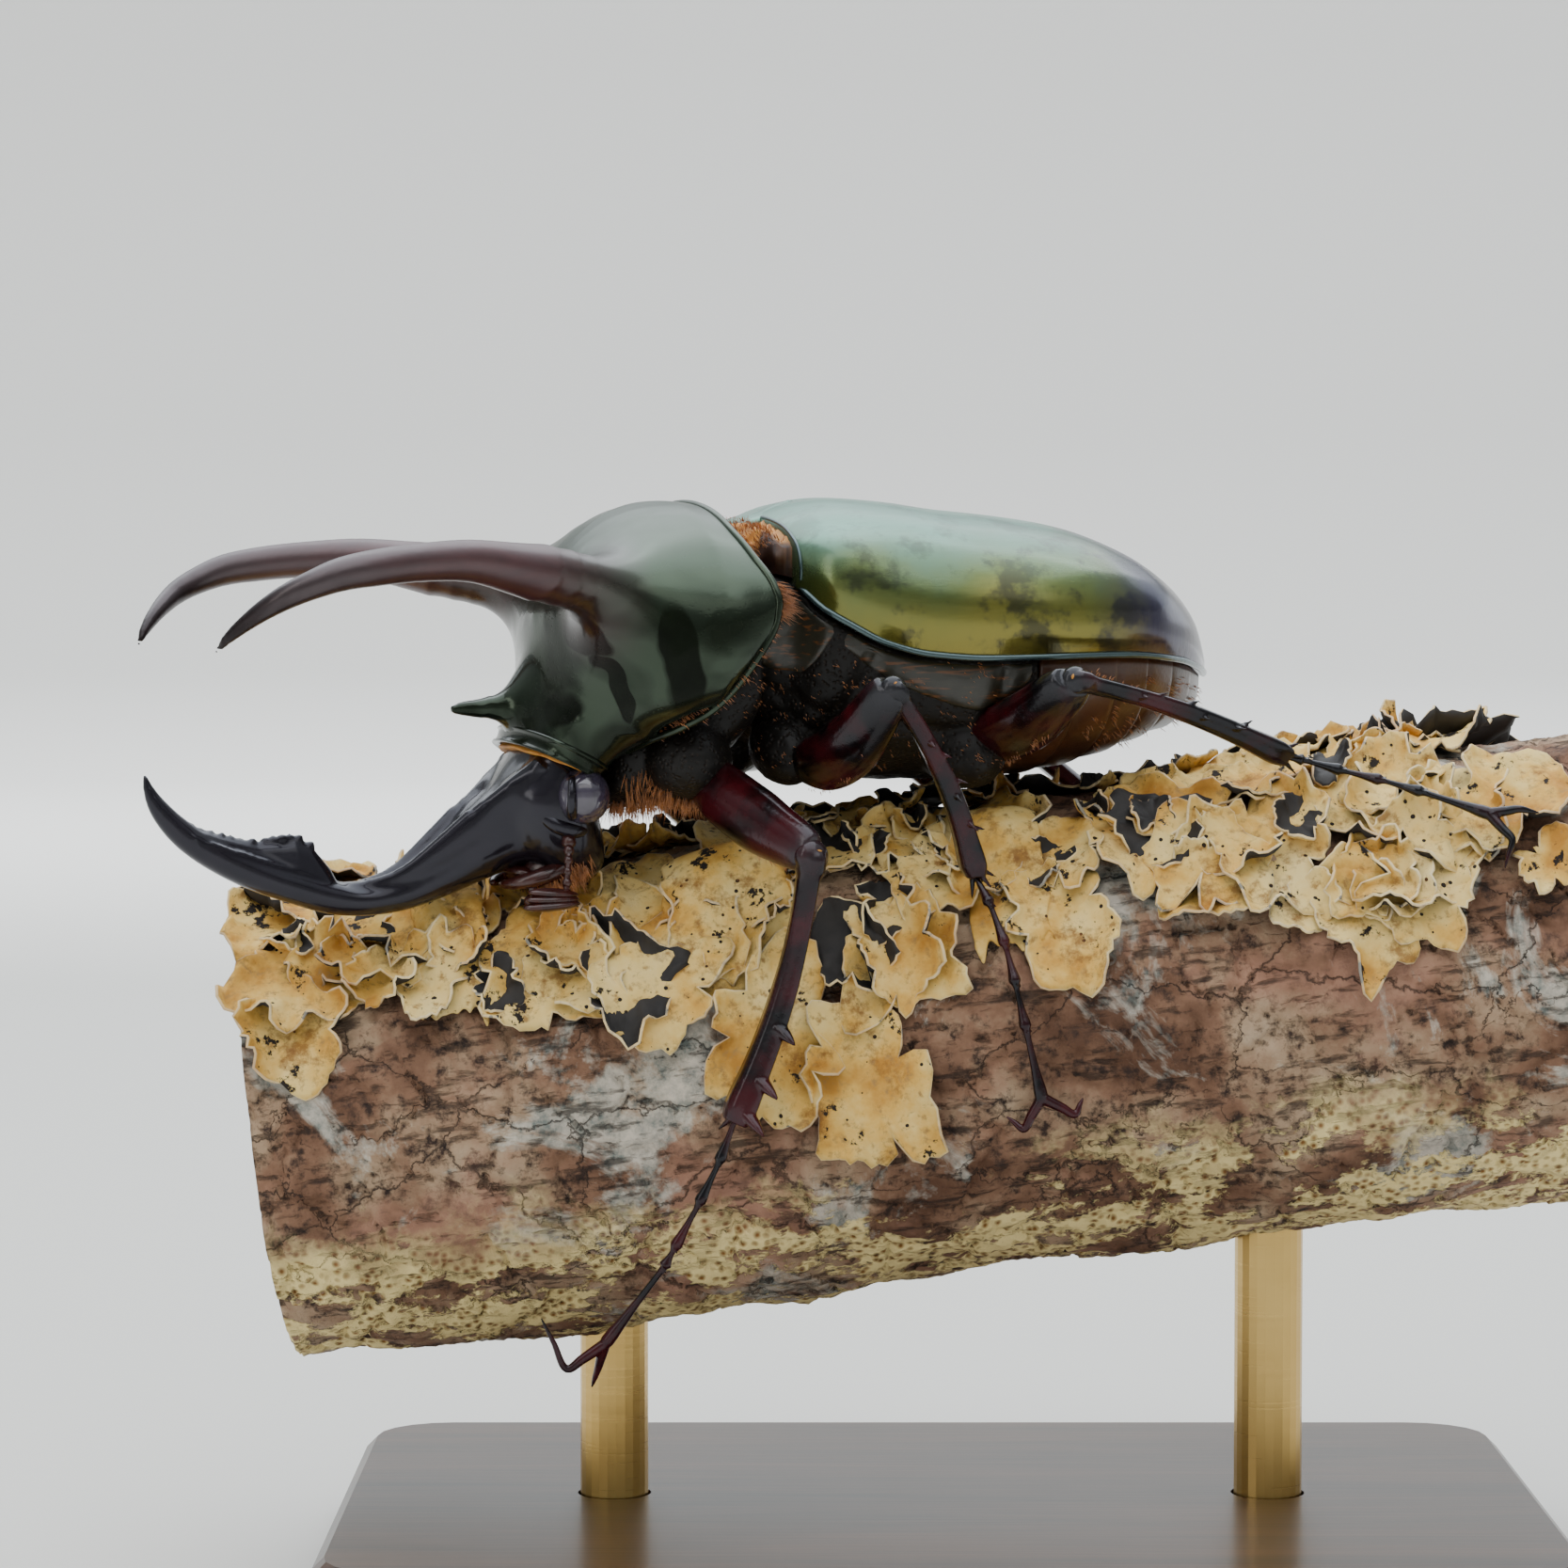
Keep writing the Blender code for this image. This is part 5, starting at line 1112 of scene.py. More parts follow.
LEGS = {
    ("front", LEFT): {
        "hip": (-8.6, -7.6, -15.8), "knee": (-2.1, -25.5, -23.8), "ankle": (-8.5, -21.3, -50.1),
        "sag": 0.6, "bow": (1.3, 0, 0),
        "foot": [(-9.9, -20.8, -54.1), (-11.8, -20.2, -58.2), (-14.0, -19.2, -62.6), (-14.8, -18.7, -64.3),
                 (-20.2, -15.5, -72.5)],
        "claws": [(-23.4, -14.6, -74.5), (-20.2, -14.4, -74.6)], "tips": [(-26.0, -14.4, -69.4),
                                                                          (-20.6, -13.6, -76.6)]},
    ("middle", LEFT): {
        "hip": (2.0, -9.6, -16.0), "knee": (6.2, -25.5, -8.0), "ankle": (16.2, -22.6, -26.6),
        "sag": 2.6, "bow": (1.2, 0, 0.3),
        "foot": [(17.0, -24.6, -29.4), (17.8, -26.6, -33.3), (18.3, -28.0, -37.0), (19.0, -29.0, -41.4),
                 (20.6, -29.4, -48.5)],
        "claws": [(18.9, -28.6, -51.1), (23.8, -30.0, -49.7)], "tips": [(17.5, -27.6, -49.9),
                                                                        (24.6, -30.0, -48.1)]},
    ("hind", LEFT): {
        "hip": (19.4, -10.5, -14.4), "knee": (24.2, -28.0, -7.4), "ankle": (48.2, -26.2, -15.3),
        "sag": 1.4, "bow": (0, 0, 0.9),
        "foot": [(49.8, -26.9, -15.6), (53.0, -29.2, -16.6), (56.1, -31.8, -17.5), (59.2, -34.6, -18.6),
                 (64.4, -39.4, -20.7)],
        "claws": [(65.5, -41.2, -23.0), (66.8, -40.2, -20.1)], "tips": [(64.5, -41.6, -25.8),
                                                                        (68.8, -40.6, -20.5)]},
    ("front", RIGHT): {
        "hip": (-8.6, 7.6, -15.8), "knee": (8.0, 22.5, -25.4), "ankle": on_branch(-7.0, -96, 3.6),
        "sag": 0.6, "bow": (0, 1.0, 0.5),
        "foot": [on_branch(*p) for p in ((-9.0, -104, 2.6), (-11.5, -113, 2.4), (-14.5, -122, 2.4),
                                         (-15.6, -126, 2.4), (-20.0, -143, 2.8))],
        "claws": [on_branch(*p) for p in ((-23.4, -146, 2.6), (-20.5, -151, 2.6))],
        "tips": [on_branch(*p) for p in ((-25.6, -141, 1.0), (-22.0, -156, 1.0))]},
    ("middle", RIGHT): {
        "hip": (2.0, 9.6, -16.0), "knee": (13.0, 25.5, -7.6), "ankle": on_branch(19.0, -62, 3.8),
        "sag": 2.2, "bow": (1.0, 0.6, 0.3),
        "foot": [on_branch(*p) for p in ((20.2, -69, 3.0), (21.4, -78, 2.6), (22.4, -86, 2.4), (23.0, -95, 2.4),
                                         (25.5, -111, 2.8))],
        "claws": [on_branch(*p) for p in ((23.4, -118, 2.4), (28.8, -114, 2.4))],
        "tips": [on_branch(*p) for p in ((21.0, -116, 1.0), (30.6, -111, 1.0))]},
    ("hind", RIGHT): {
        "hip": (19.4, 10.5, -14.4), "knee": (27.5, 27.6, -7.2), "ankle": on_branch(26.0, -44, 4.4),
        "sag": 1.4, "bow": (0.4, 0, 0.9),
        "foot": [on_branch(*p) for p in ((28.0, -46, 3.4), (32.2, -50, 2.6), (36.0, -54, 2.4), (40.0, -58, 2.4),
                                         (46.6, -66, 2.8))],
        "claws": [on_branch(*p) for p in ((48.0, -72, 2.4), (49.8, -68, 2.4))],
        "tips": [on_branch(*p) for p in ((46.0, -77, 1.0), (52.4, -67, 1.0))]},
}
print("legs:", len(LEGS), "| branch runs along", [round(c, 2) for c in BRANCH_ALONG])

# %% [markdown]
# A leg has three parts that the eye should tell apart: the broad upper leg, the shin with its teeth
# or spines, and the jointed foot with two hooks. Each is a loft with its spines fused to it, and a
# piece of its own, because a real leg bends between them. The front shins have three strong teeth
# for digging, the others thin spines and spurs.

# %% Helpers for the legs
def spine(bm, foot, tip, radius, bend=(0, 0, 0), sides=10):
    """Adds a curved, pointed spine."""
    foot, tip = Vector(foot), Vector(tip)
    rows = []
    for share, size in ((0.0, 1.0), (0.2, 0.85), (0.45, 0.62), (0.7, 0.4), (0.9, 0.2), (1.0, 0.09)):
        at = foot.lerp(tip, share) + Vector(bend) * sin(pi * share)
        rows.append((*at, 2 * radius * size, 2 * radius * size))
    join(bm, limb(rows, sides, (tip - foot).orthogonal()))


LIMBS = {"upper_leg": ("femur", 0.26), "shin": ("tibia", 0.17), "foot": ("foot", 0.12)}


def finish_limb(bm, kind, label, painted_knee_highlights=()):
    """Fuses a limb with its spines, marks the grey highlight painted on its knees and places it."""
    node, voxel = LIMBS[kind]
    skin = fuse([bm], voxel, voxel)
    soften(skin, skin.verts, 2)
    store(skin, "tint", lambda _, at: max([strength * bell((at - spot).length, 0, reach)
                                           for spot, reach, strength in painted_knee_highlights] + [0.0]))
    return place(skin, f"{kind}_{label}", leg_shell, "leg", (f"leg_{label}_{node}",))


FEMUR_WIDTH = {"front": 6.4, "middle": 6.3, "hind": 7.4}
TIBIA_WIDTH = {"front": 3.3, "middle": 2.7, "hind": 2.9}
femur_size = curve([(0, 0.5), (0.1, 0.7), (0.3, 0.96), (0.55, 1.0), (0.78, 0.86), (0.93, 0.74), (1, 0.6)])
tibia_size = curve([(0, 0.7), (0.03, 1.12), (0.07, 1.14), (0.12, 0.88), (0.3, 0.84), (0.55, 0.95), (0.8, 1.05),
                    (0.94, 1.2), (1, 0.95)])


def ridges(share, angle):
    """Shallow lengthwise ridges on a shin."""
    return 0.10 * cos(4 * angle) * min(1.0, 4 * share)


print("leg helpers ready")

# %% Upper legs and shins
knee_skin = bmesh.new()
for (which, side), leg in LEGS.items():
    hip, knee, ankle = (Vector(leg[key]) for key in ("hip", "knee", "ankle"))
    across = (knee - hip).cross(ankle - knee).cross(knee - hip).normalized()
    label = f"{which}_{SIDE_NAMES[side]}"
    width = FEMUR_WIDTH[which]
    rows = []
    for i in range(40):
        share = i / 39
        at = hip.lerp(knee, share) - Vector((0, 0, leg["sag"] * sin(pi * share)))
        size = width * femur_size(share)
        rows.append((*at, size, size * 0.66))
    bm = limb(rows, 32, across)
    ball(bm, knee, (1.15, 1.15, 1.15), segments=20, rings=12)
    ball(bm, hip.lerp(knee, 0.06), (width * 0.33, width * 0.30, width * 0.33), segments=20, rings=12)
    finish_limb(bm, "upper_leg", label, [(knee, 2.2, 0.7)])

    down = (ankle - knee).normalized()
    outer = (knee - hip).normalized()
    outer = (outer - down * outer.dot(down)).normalized()
    sidewise = down.cross(outer)
    start = knee - down * 0.6
    width = TIBIA_WIDTH[which]
    rows = []
    for i in range(60):
        share = i / 59
        at = start.lerp(ankle, share) + Vector(leg["bow"]) * sin(pi * share)
        rows.append((*at, width * tibia_size(share), width * tibia_size(share) * 0.7))
    bm = limb(rows, 28, outer, flute=ridges)
    ball(bm, rows[2][:3], (width * 0.52, width * 0.44, width * 0.52), segments=20, rings=12)
    swelling = [(*(start + down * at), width * size, width * size * 0.58)
                for at, size in ((-0.35, 0.3), (-0.2, 0.6), (0.0, 0.78), (0.2, 0.8), (0.4, 0.5))]
    join(knee_skin, limb(swelling, 24, outer))
    if which == "front":
        for share, reach, lean in ((0.66, 2.5, 0.4), (0.84, 2.9, 0.4), (0.955, 3.1, 0.5)):
            at = Vector(rows[int(share * 59)][:3])
            spine(bm, at, at + outer * (reach + 1.2) + down * reach * lean, 1.05, outer * 0.35)
        end = Vector(rows[-3][:3])
        spine(bm, end, end - outer * 2.2 + down * 2.6, 0.55)
    else:
        for share, reach, way in ((0.3, 1.5, 0.4), (0.36, 1.7, -0.2), (0.5, 1.9, -0.3), (0.56, 1.6, 0.5),
                                  (0.7, 2.1, 0.3), (0.76, 1.7, -0.5)):
            at = Vector(rows[int(share * 59)][:3])
            spine(bm, at, at + (outer + sidewise * way) * (reach + 0.5) + down * reach * 0.9, 0.42)
        end = Vector(rows[-4][:3])
        for out, aside, reach in ((1.0, 0.3, 2.8), (-0.5, 0.7, 3.4), (-0.5, -0.7, 3.0), (0.6, -0.8, 2.4)):
            spine(bm, end, end + (outer * out + sidewise * aside) * 1.8 + down * reach, 0.5)
    finish_limb(bm, "shin", label, [(knee, 1.8, 0.6), (ankle, 1.6, 0.3)])
place(knee_skin, "knee_skin", soft_skin, "leg")
print("upper legs and shins: 12")

# %% Feet and claws
joint_swell = curve([(0.0, 0.72), (0.12, 0.62), (0.4, 0.72), (0.72, 1.1), (0.88, 1.35), (0.97, 1.15), (1.0, 0.8)])
for (which, side), leg in LEGS.items():
    joints = [Vector(leg["ankle"])] + [Vector(point) for point in leg["foot"]]
    spread = Vector(leg["claws"][1]) - Vector(leg["claws"][0])
    reach = joints[-1] - joints[0]
    across = reach.cross(spread).cross(reach)
    bm = bmesh.new()
    rows = []
    for number, (a, b) in enumerate(zip(joints, joints[1:])):
        last = number == len(joints) - 2
        for i in range(12):
            share = i / 11
            if number and i == 0:
                continue
            size = 0.92 * joint_swell(share) * (1.12 if last else 1.0)
            rows.append((*a.lerp(b, share), size, size))
        way = (b - a).normalized()
        side_way = way.cross(across).normalized()
        for out in (side_way, -side_way, across.normalized()):
            at = a.lerp(b, 0.88)
            spine(bm, at, at + out * 0.75 + way * 1.15, 0.17, sides=7)
    join(bm, limb(rows, 20, across))
    base = joints[-1] - (joints[-1] - joints[-2]).normalized() * 0.5
    for bend, tip in zip(map(Vector, leg["claws"]), map(Vector, leg["tips"])):
        hook = [(*base, 1.2, 1.2), (*base.lerp(bend, 0.6), 1.0, 1.0), (*bend, 0.8, 0.8),
                (*(bend.lerp(tip, 0.55)), 0.55, 0.55), (*tip, 0.2, 0.2)]
        join(bm, limb(hook, 14, (bend - base).cross(tip - bend), 26))
    label = f"{which}_{SIDE_NAMES[side]}"
    made = finish_limb(bm, "foot", label)
print("feet: 6, the last one of", triangles(made), "triangles")

# %% [markdown]
# The beetle holds on to a dead limb about as thick as it is wide, cut short for this model. Its
# bark is pinkish brown and grey and has cracked into plates. The loft's radius carries the large
# swells and the cracks, so that they are real relief, and the finish adds the grain. Two attributes
# serve the finish: around is the turn round the branch, and core the distance from the pith on the
# sawn ends.

# %% The branch
BRANCH_START, BRANCH_END = -64.0, 74.0
SAWN_DEPTH, SAW_MARKS = 0.75, 0.12


def bark(along, angle):
    """How far the bark's large swells stand out of the branch's mean radius."""
    waves = ((0.55, 1, 0.045, 0.4), (0.35, 3, 0.11, 2.1), (0.28, 5, -0.19, 4.0), (0.2, 8, 0.33, 1.2))
    return sum(size * sin(turns * angle + along * rate + start) for size, turns, rate, start in waves)


def bark_detail(along, angle):
    """Plates and cracks: the finer relief of the bark."""
    spot = Vector((along * 0.11, cos(angle) * 3.2, sin(angle) * 3.2))
    rough = 0.45 * noise.fractal(spot * 1.3, 0.8, 2.1, 4) + 0.22 * noise.fractal(spot * 5.0, 0.7, 2.2, 3)
    spread = Vector((along * 0.075, cos(angle) * 2.6, sin(angle) * 2.6))
    warp = noise.noise_vector(spot * 0.9) * 0.6
    near, second = noise.voronoi(spread * 1.5 + warp)[0][:2]
    crack = max(0.0, 1 - (second - near) / 0.07)
    return rough - 0.75 * crack


ALONG_STEPS, AROUND_STEPS = 300, 220
angles = [2 * pi * k / AROUND_STEPS for k in range(AROUND_STEPS)]
rings = []
for i in range(ALONG_STEPS):
    along = BRANCH_START + (BRANCH_END - BRANCH_START) * i / (ALONG_STEPS - 1)
    rings.append([on_branch(along, degrees(a), bark(along, a) + bark_detail(along, a)) for a in angles])
for share, inward in ((0.955, 0.25), (0.92, 0.1), (0.9, 0.5), (0.75, 0.4), (0.5, 0.5), (0.25, 0.4), (0.04, 0.5)):
    for end, at in ((0, BRANCH_START), (-1, BRANCH_END)):
        axis = BRANCH_AT + BRANCH_ALONG * (at + (inward if end == 0 else -inward))
        ring = [axis + (Vector(on_branch(at, degrees(a), bark(at, a))) - BRANCH_AT - BRANCH_ALONG * at) * share
                + BRANCH_ALONG * SAW_MARKS * noise.noise(Vector((cos(a), sin(a), at)) * share * 9)
                for a in angles]
        if end == 0:
            rings.insert(0, ring)
        else:
            rings.append(ring)
branch = loft(rings)


def off_axis(at):
    """How far along the branch a point lies, and its way from the branch's axis."""
    spot = at - BRANCH_AT
    along = spot.dot(BRANCH_ALONG)
    return along, spot - BRANCH_ALONG * along


def turned_to(at):
    """Degrees from the branch's top to its near side."""
    off = off_axis(at)[1]
    return degrees(atan2(off.dot(BRANCH_NEAR), off.dot(BRANCH_UP)))


def from_core(at):
    """The distance from the pith on a sawn end, and a large number on the bark."""
    along, off = off_axis(at)
    return off.length if not BRANCH_START + SAWN_DEPTH <= along <= BRANCH_END - SAWN_DEPTH else 40.0


store(branch, "around", lambda _, at: turned_to(at))
store(branch, "core", lambda _, at: from_core(at))
print("branch faces:", len(branch.faces))

# %% [markdown]
# Bark isn't one colour. A pinkish brown mixes with grey brown, pale blue-white patches are a crust
# of another lichen, and along the lower side runs a band of yellow, spongy crust. The sawn ends
# show pale wood with growth rings, which are circles of the distance from the pith.

# %% Colours of the bark
bark_finish, tree, shader, where = new_finish("cracked bark, pink grey with crusts", "7A5E4C", 0.85, ior=1.45)
around = add("Attribute", {}, out="Fac", attribute_name="around")
core = add("Attribute", {}, out="Fac", attribute_name="core")
broad = add("TexNoise", {"Vector": where, "Scale": 85.0, "Detail": 6.0, "Roughness": 0.62})
fine = add("TexNoise", {"Vector": where, "Scale": 520.0, "Detail": 8.0, "Roughness": 0.7})
grit = add("TexNoise", {"Vector": where, "Scale": 2600.0, "Detail": 3.0})
base_bark = add("ValToRGB", {"Fac": broad},
                stops=((0.0, "35241A"), (0.36, "5C3E2C"), (0.48, "82604A"), (0.6, "A68B70"), (1.0, "CDBFA8")))
fine_dark = add("MapRange", {"Value": fine}, span=(0.36, 0.5))
grained = add("Mix", {"Factor": fine_dark, "A": "33231C", "B": base_bark})
pale_spots = add("TexNoise", {"Vector": where, "Scale": 48.0, "Detail": 7.0, "Roughness": 0.68,
                              "Distortion": 0.6})
pale_mask = add("MapRange", {"Value": pale_spots}, span=(0.545, 0.60))
pale_share = add("MapRange", {"Value": fine}, span=(0.34, 0.62))
pale_tone = add("Mix", {"Factor": pale_share, "A": "7E8882", "B": "DAD4C6"})
pale_part = add("Math", {0: pale_mask, 1: 0.7}, operation="MULTIPLY")
pink_spots = add("TexNoise", {"Vector": where, "Scale": 66.0, "Detail": 5.0, "Roughness": 0.6})
pink_part = add("MapRange", {"Value": pink_spots, "To Max": 0.6}, span=(0.52, 0.64))
pinked = add("Mix", {"Factor": pink_part, "A": grained, "B": "B0826C"})
patched = add("Mix", {"Factor": pale_part, "A": pinked, "B": pale_tone})
print("bark: colours laid")

# %% Cracks and crust
# A Texture mapping turns first and divides by sizes in metres, so its first axis runs along the
# branch. Cracks part the bark into plates about 10 by 6 mm, and finer fissures run along it.
BRANCH_TURN = (0.0, -BRANCH_RISE, BRANCH_YAW)
lined_up = add("Mapping", {"Vector": where, "Rotation": BRANCH_TURN, "Scale": (0.011, 0.0065, 0.0065)}
                          , vector_type="TEXTURE")
bent = add("TexNoise", {"Vector": where, "Scale": 260.0, "Detail": 5.0, "Roughness": 0.65}, out="Color")
warped = add("Mix", {"Factor": 0.4, "A": lined_up, "B": bent}, data_type="VECTOR")
seams = add("TexVoronoi", {"Vector": warped, "Scale": 1.0}, feature="DISTANCE_TO_EDGE")
seam_width = add("MapRange", {"Value": pink_spots, "To Min": 0.0005,
                              "To Max": 0.022}, span=(0.35, 0.62))
crack_open = add("MapRange", {"Value": seams}, span=(0.0, seam_width))
fissure_place = add("Mapping", {"Vector": where, "Rotation": BRANCH_TURN, "Scale": (0.006, 0.0011, 0.0011)}
                               , vector_type="TEXTURE")
fissure = add("TexNoise", {"Vector": fissure_place, "Scale": 1.0, "Detail": 5.0, "Roughness": 0.6})
fissured = add("MapRange", {"Value": fissure}, span=(0.34, 0.45))
whole = add("Math", {0: crack_open, 1: fissured}, operation="MULTIPLY")
crack_share = add("MapRange", {"Value": whole, "To Min": 0.25})
cracked = add("Mix", {"Factor": crack_share, "A": "231813", "B": patched})
edge_way = add("Math", {0: broad, 1: 60.0}, operation="MULTIPLY")
lower = add("Math", {0: around, 1: edge_way}, operation="ADD")
low_from = add("MapRange", {"Value": lower}, span=(140.0, 158.0))
low_to = add("MapRange", {"Value": lower}, span=(214.0, 200.0))
crust_band = add("Math", {0: low_from, 1: low_to}, operation="MULTIPLY")
crust_holes = add("TexVoronoi", {"Vector": where, "Scale": 1000.0})
crust_pore = add("MapRange", {"Value": crust_holes}, span=(0.12, 0.48))
crust_patch = add("TexNoise", {"Vector": lined_up, "Scale": 0.8, "Detail": 6.0, "Roughness": 0.7})
crust_break = add("MapRange", {"Value": crust_patch}, span=(0.47, 0.5))
crust_mask = add("Math", {0: crust_band, 1: crust_break}, operation="MULTIPLY")
crust_tone = add("Mix", {"Factor": crust_pore, "A": "805420", "B": "EED796"})
crusted = add("Mix", {"Factor": crust_mask, "A": cracked, "B": crust_tone})
print("bark: cracked and crusted")

# %% Sawn wood, and the branch dressed
ring_drift = add("TexNoise", {"Vector": where, "Scale": 55.0})
ring_bend = add("Math", {0: ring_drift, 1: 13.0}, operation="MULTIPLY")
ring_shift = add("Math", {0: core, 1: 4.3, 2: ring_bend}, operation="MULTIPLY_ADD")
ring_line = add("Math", {0: ring_shift}, operation="SINE")
ring_part = add("MapRange", {"Value": ring_line, "From Min": -1.0, "From Max": 1.0, "To Max": 0.55})
ring_share = add("Math", {0: fine, 1: 0.45, 2: ring_part}, operation="MULTIPLY_ADD")
pale_wood = add("Mix", {"Factor": ring_share, "A": "A07C52", "B": "D9BE92"})
# Drying splits run from the rim towards the pith.
split_turn = add("Math", {0: around, 1: 0.11}, operation="MULTIPLY")
splits = add("TexNoise", {"W": split_turn, "Scale": 1.0, "Detail": 1.0}, noise_dimensions="1D")
split_edge = add("MapRange", {"Value": core, "To Min": 0.26,
                              "To Max": 0.34}, span=(4.0, 22.0))
split = add("Math", {0: splits, 1: split_edge}, operation="LESS_THAN")
wood_tone = add("Mix", {"Factor": split, "A": pale_wood, "B": "4A3220"})
is_wood = add("MapRange", {"Value": core}, span=(21.9, 21.4))
final_tone = add("Mix", {"Factor": is_wood, "A": crusted, "B": wood_tone})
grain_height = add("Mix", {"Factor": 0.35, "A": fine, "B": grit}, data_type="FLOAT")
rough_height = add("Mix", {"Factor": 0.5, "A": grain_height, "B": whole}, data_type="FLOAT")
pore_height = add("Math", {0: crust_mask, 1: crust_pore}, operation="MULTIPLY")
bark_bump = add("Bump", {"Strength": 0.9, "Distance": 0.0006, "Height": rough_height})
pore_bump = add("Bump", {"Strength": 0.8, "Distance": 0.0003, "Height": pore_height, "Normal": bark_bump})
feed(shader, {"Base Color": final_tone, "Normal": pore_bump})
branch_piece = place(branch, "branch_bark", bark_finish, "bark", ("perch_branch",))
print("branch triangles:", triangles(branch_piece))

# %% [markdown]
# The cream and yellow plates are a leafy lichen. Each leaf is thin, lobed and brittle, its rim
# curls up, and its underside is black, which shows wherever a leaf turns over. A leaf is lofted as
# rings that spread from its root over the bark, and a Solidify modifier gives it its thickness and
# its black underside.

# %% Finish of the lichen
leaf_top, tree, shader, where = new_finish("dry leafy lichen, cream", "E2CB90", 0.8, ior=1.4)
broad = add("TexNoise", {"Vector": where, "Scale": 120.0, "Detail": 5.0, "Roughness": 0.6})
fine = add("TexNoise", {"Vector": where, "Scale": 900.0, "Detail": 6.0, "Roughness": 0.65})
leaf_base = add("ValToRGB", {"Fac": broad},
                stops=((0.0, "7A4C1E"), (0.36, "BC8434"), (0.47, "DCAE56"), (0.57, "E9C97C"), (1.0, "F5E6B8")))
scurf = add("MapRange", {"Value": fine}, span=(0.32, 0.46))
scurfed = add("Mix", {"Factor": scurf, "A": "A5804A", "B": leaf_base})
# Black fruiting dots, 0.2 to 0.4 mm across and a few millimetres apart.
dots = add("TexVoronoi", {"Vector": where, "Scale": 620.0})
dot_field = add("MapRange", {"Value": broad, "To Min": 0.06,
                             "To Max": 0.17}, span=(0.45, 0.62))
dot_edge = add("Math", {0: dots, 1: dot_field}, operation="LESS_THAN")
dotted = add("Mix", {"Factor": dot_edge, "A": scurfed, "B": "241C18"})
# Bare black patches where the cream layer has worn off, and a thin pale line along the torn rim.
stain = add("TexNoise", {"Vector": where, "Scale": 190.0, "Detail": 7.0, "Roughness": 0.7})
stain_part = add("MapRange", {"Value": stain, "To Max": 0.75}, span=(0.55, 0.64))
stained = add("Mix", {"Factor": stain_part, "A": dotted, "B": "7A4C22"})
worn = add("TexNoise", {"Vector": where, "Scale": 260.0, "Detail": 7.0, "Roughness": 0.7})
worn_part = add("MapRange", {"Value": worn}, span=(0.60, 0.62))
patchy_leaf = add("Mix", {"Factor": worn_part, "A": stained, "B": "221B18"})
rim = add("Attribute", {}, out="Fac", attribute_name="rim")
rim_part = add("MapRange", {"Value": rim, "To Max": 0.3}, span=(0.985, 1.0))
rimmed = add("Mix", {"Factor": rim_part, "A": patchy_leaf, "B": "F6EFDD"})
leaf_bump = add("Bump", {"Strength": 0.7, "Distance": 0.0002, "Height": fine})
feed(shader, {"Base Color": rimmed, "Normal": leaf_bump})

leaf_under, tree, shader, where = new_finish("black felted underside of lichen", "1B1A1C", 0.7, ior=1.45)
clouds = add("TexNoise", {"Vector": where, "Scale": 420.0, "Detail": 5.0})
under_tone = add("Mix", {"Factor": clouds, "A": "0F0F12", "B": "3A3532"})
under_bump = add("Bump", {"Strength": 0.6, "Distance": 0.0003, "Height": clouds})
feed(shader, {"Base Color": under_tone, "Normal": under_bump})
print("finishes:", leaf_top.name, "|", leaf_under.name)

# %% One leaf of lichen
LEAF_SIDES, LEAF_THICKNESS = 56, 0.28
LEAF_SHARES = (0.12, 0.3, 0.48, 0.64, 0.78, 0.9, 1.0)


def lichen_leaf(bm, along, angle, size, curl, chance, lift=0.25, stretch=1.0, turned=False):
    """Adds a lobed leaf that lies on the bark at its middle and curls up at its rim."""
    phase = [chance.uniform(0, 6.28) for _ in range(4)]
    cuts = [(chance.uniform(-180, 180), chance.uniform(0.08, 0.34), chance.uniform(4, 9)) for _ in range(5)]
    lean = chance.uniform(0, 3.14)
    seed = Vector((chance.uniform(0, 50), chance.uniform(0, 50), 0))
    rings = []
    for share in LEAF_SHARES:
        ring = []
        for k in range(LEAF_SIDES):
            turn = 2 * pi * k / LEAF_SIDES
            way = Vector((cos(turn), sin(turn), 0))
            lobes = (1 + 0.10 * sin(2 * turn + phase[0]) + 0.08 * sin(3 * turn + phase[1])
                     + 0.07 * sin(7 * turn + phase[3]))
            ragged = (1 + 0.40 * noise.noise(seed + way * 1.2) + 0.12 * noise.noise(seed + way * 3.0)
                      + 0.10 * noise.noise(seed + way * 8.0))
            notch = sum(depth * bell(degrees(remainder(turn - radians(at), 2 * pi)), 0, wide)
                        for at, depth, wide in cuts)
            reach = size * share * (1 + (lobes * ragged - min(0.5, notch) - 1) * share)
            u, w = reach * way.x, reach * way.y * (1 + (stretch - 1) * sin(turn - lean) ** 2)
            crinkle = noise.noise(seed + Vector((u, w, 3)) * 0.45)
            rim = share ** 3.2 * curl * (0.45 + 0.55 * sin(2 * turn + phase[2]) + 0.7 * crinkle)
            tuck = 1 - 0.10 * share ** 4 * max(0.0, min(1.5, rim / 2))
            here = along + u * tuck
            around = angle + degrees(w * tuck / BRANCH_RADIUS)
            ground = bark(here, radians(around))
            height = ground + lift + 0.5 * share + max(rim, -0.3 * share) + 0.45 * crinkle * share
            if share == LEAF_SHARES[0]:
                height = ground + lift - 0.2
            ring.append(on_branch(here, around, height))
        rings.append(ring)
    leaf = loft(rings[::-1], caps=False)
    inner = set(list(leaf.verts)[-LEAF_SIDES:])
    hole = [edge for edge in leaf.edges if len(edge.link_faces) == 1 and edge.verts[0] in inner]
    bmesh.ops.holes_fill(leaf, edges=hole, sides=0)
    face_out(leaf)
    outward = Vector(on_branch(along, angle, 5)) - Vector(on_branch(along, angle, 0))
    facing = sum((face.normal * face.calc_area() for face in leaf.faces), Vector()).dot(outward)
    if (facing < 0) != turned:
        bmesh.ops.reverse_faces(leaf, faces=leaf.faces)
    join(bm, leaf)


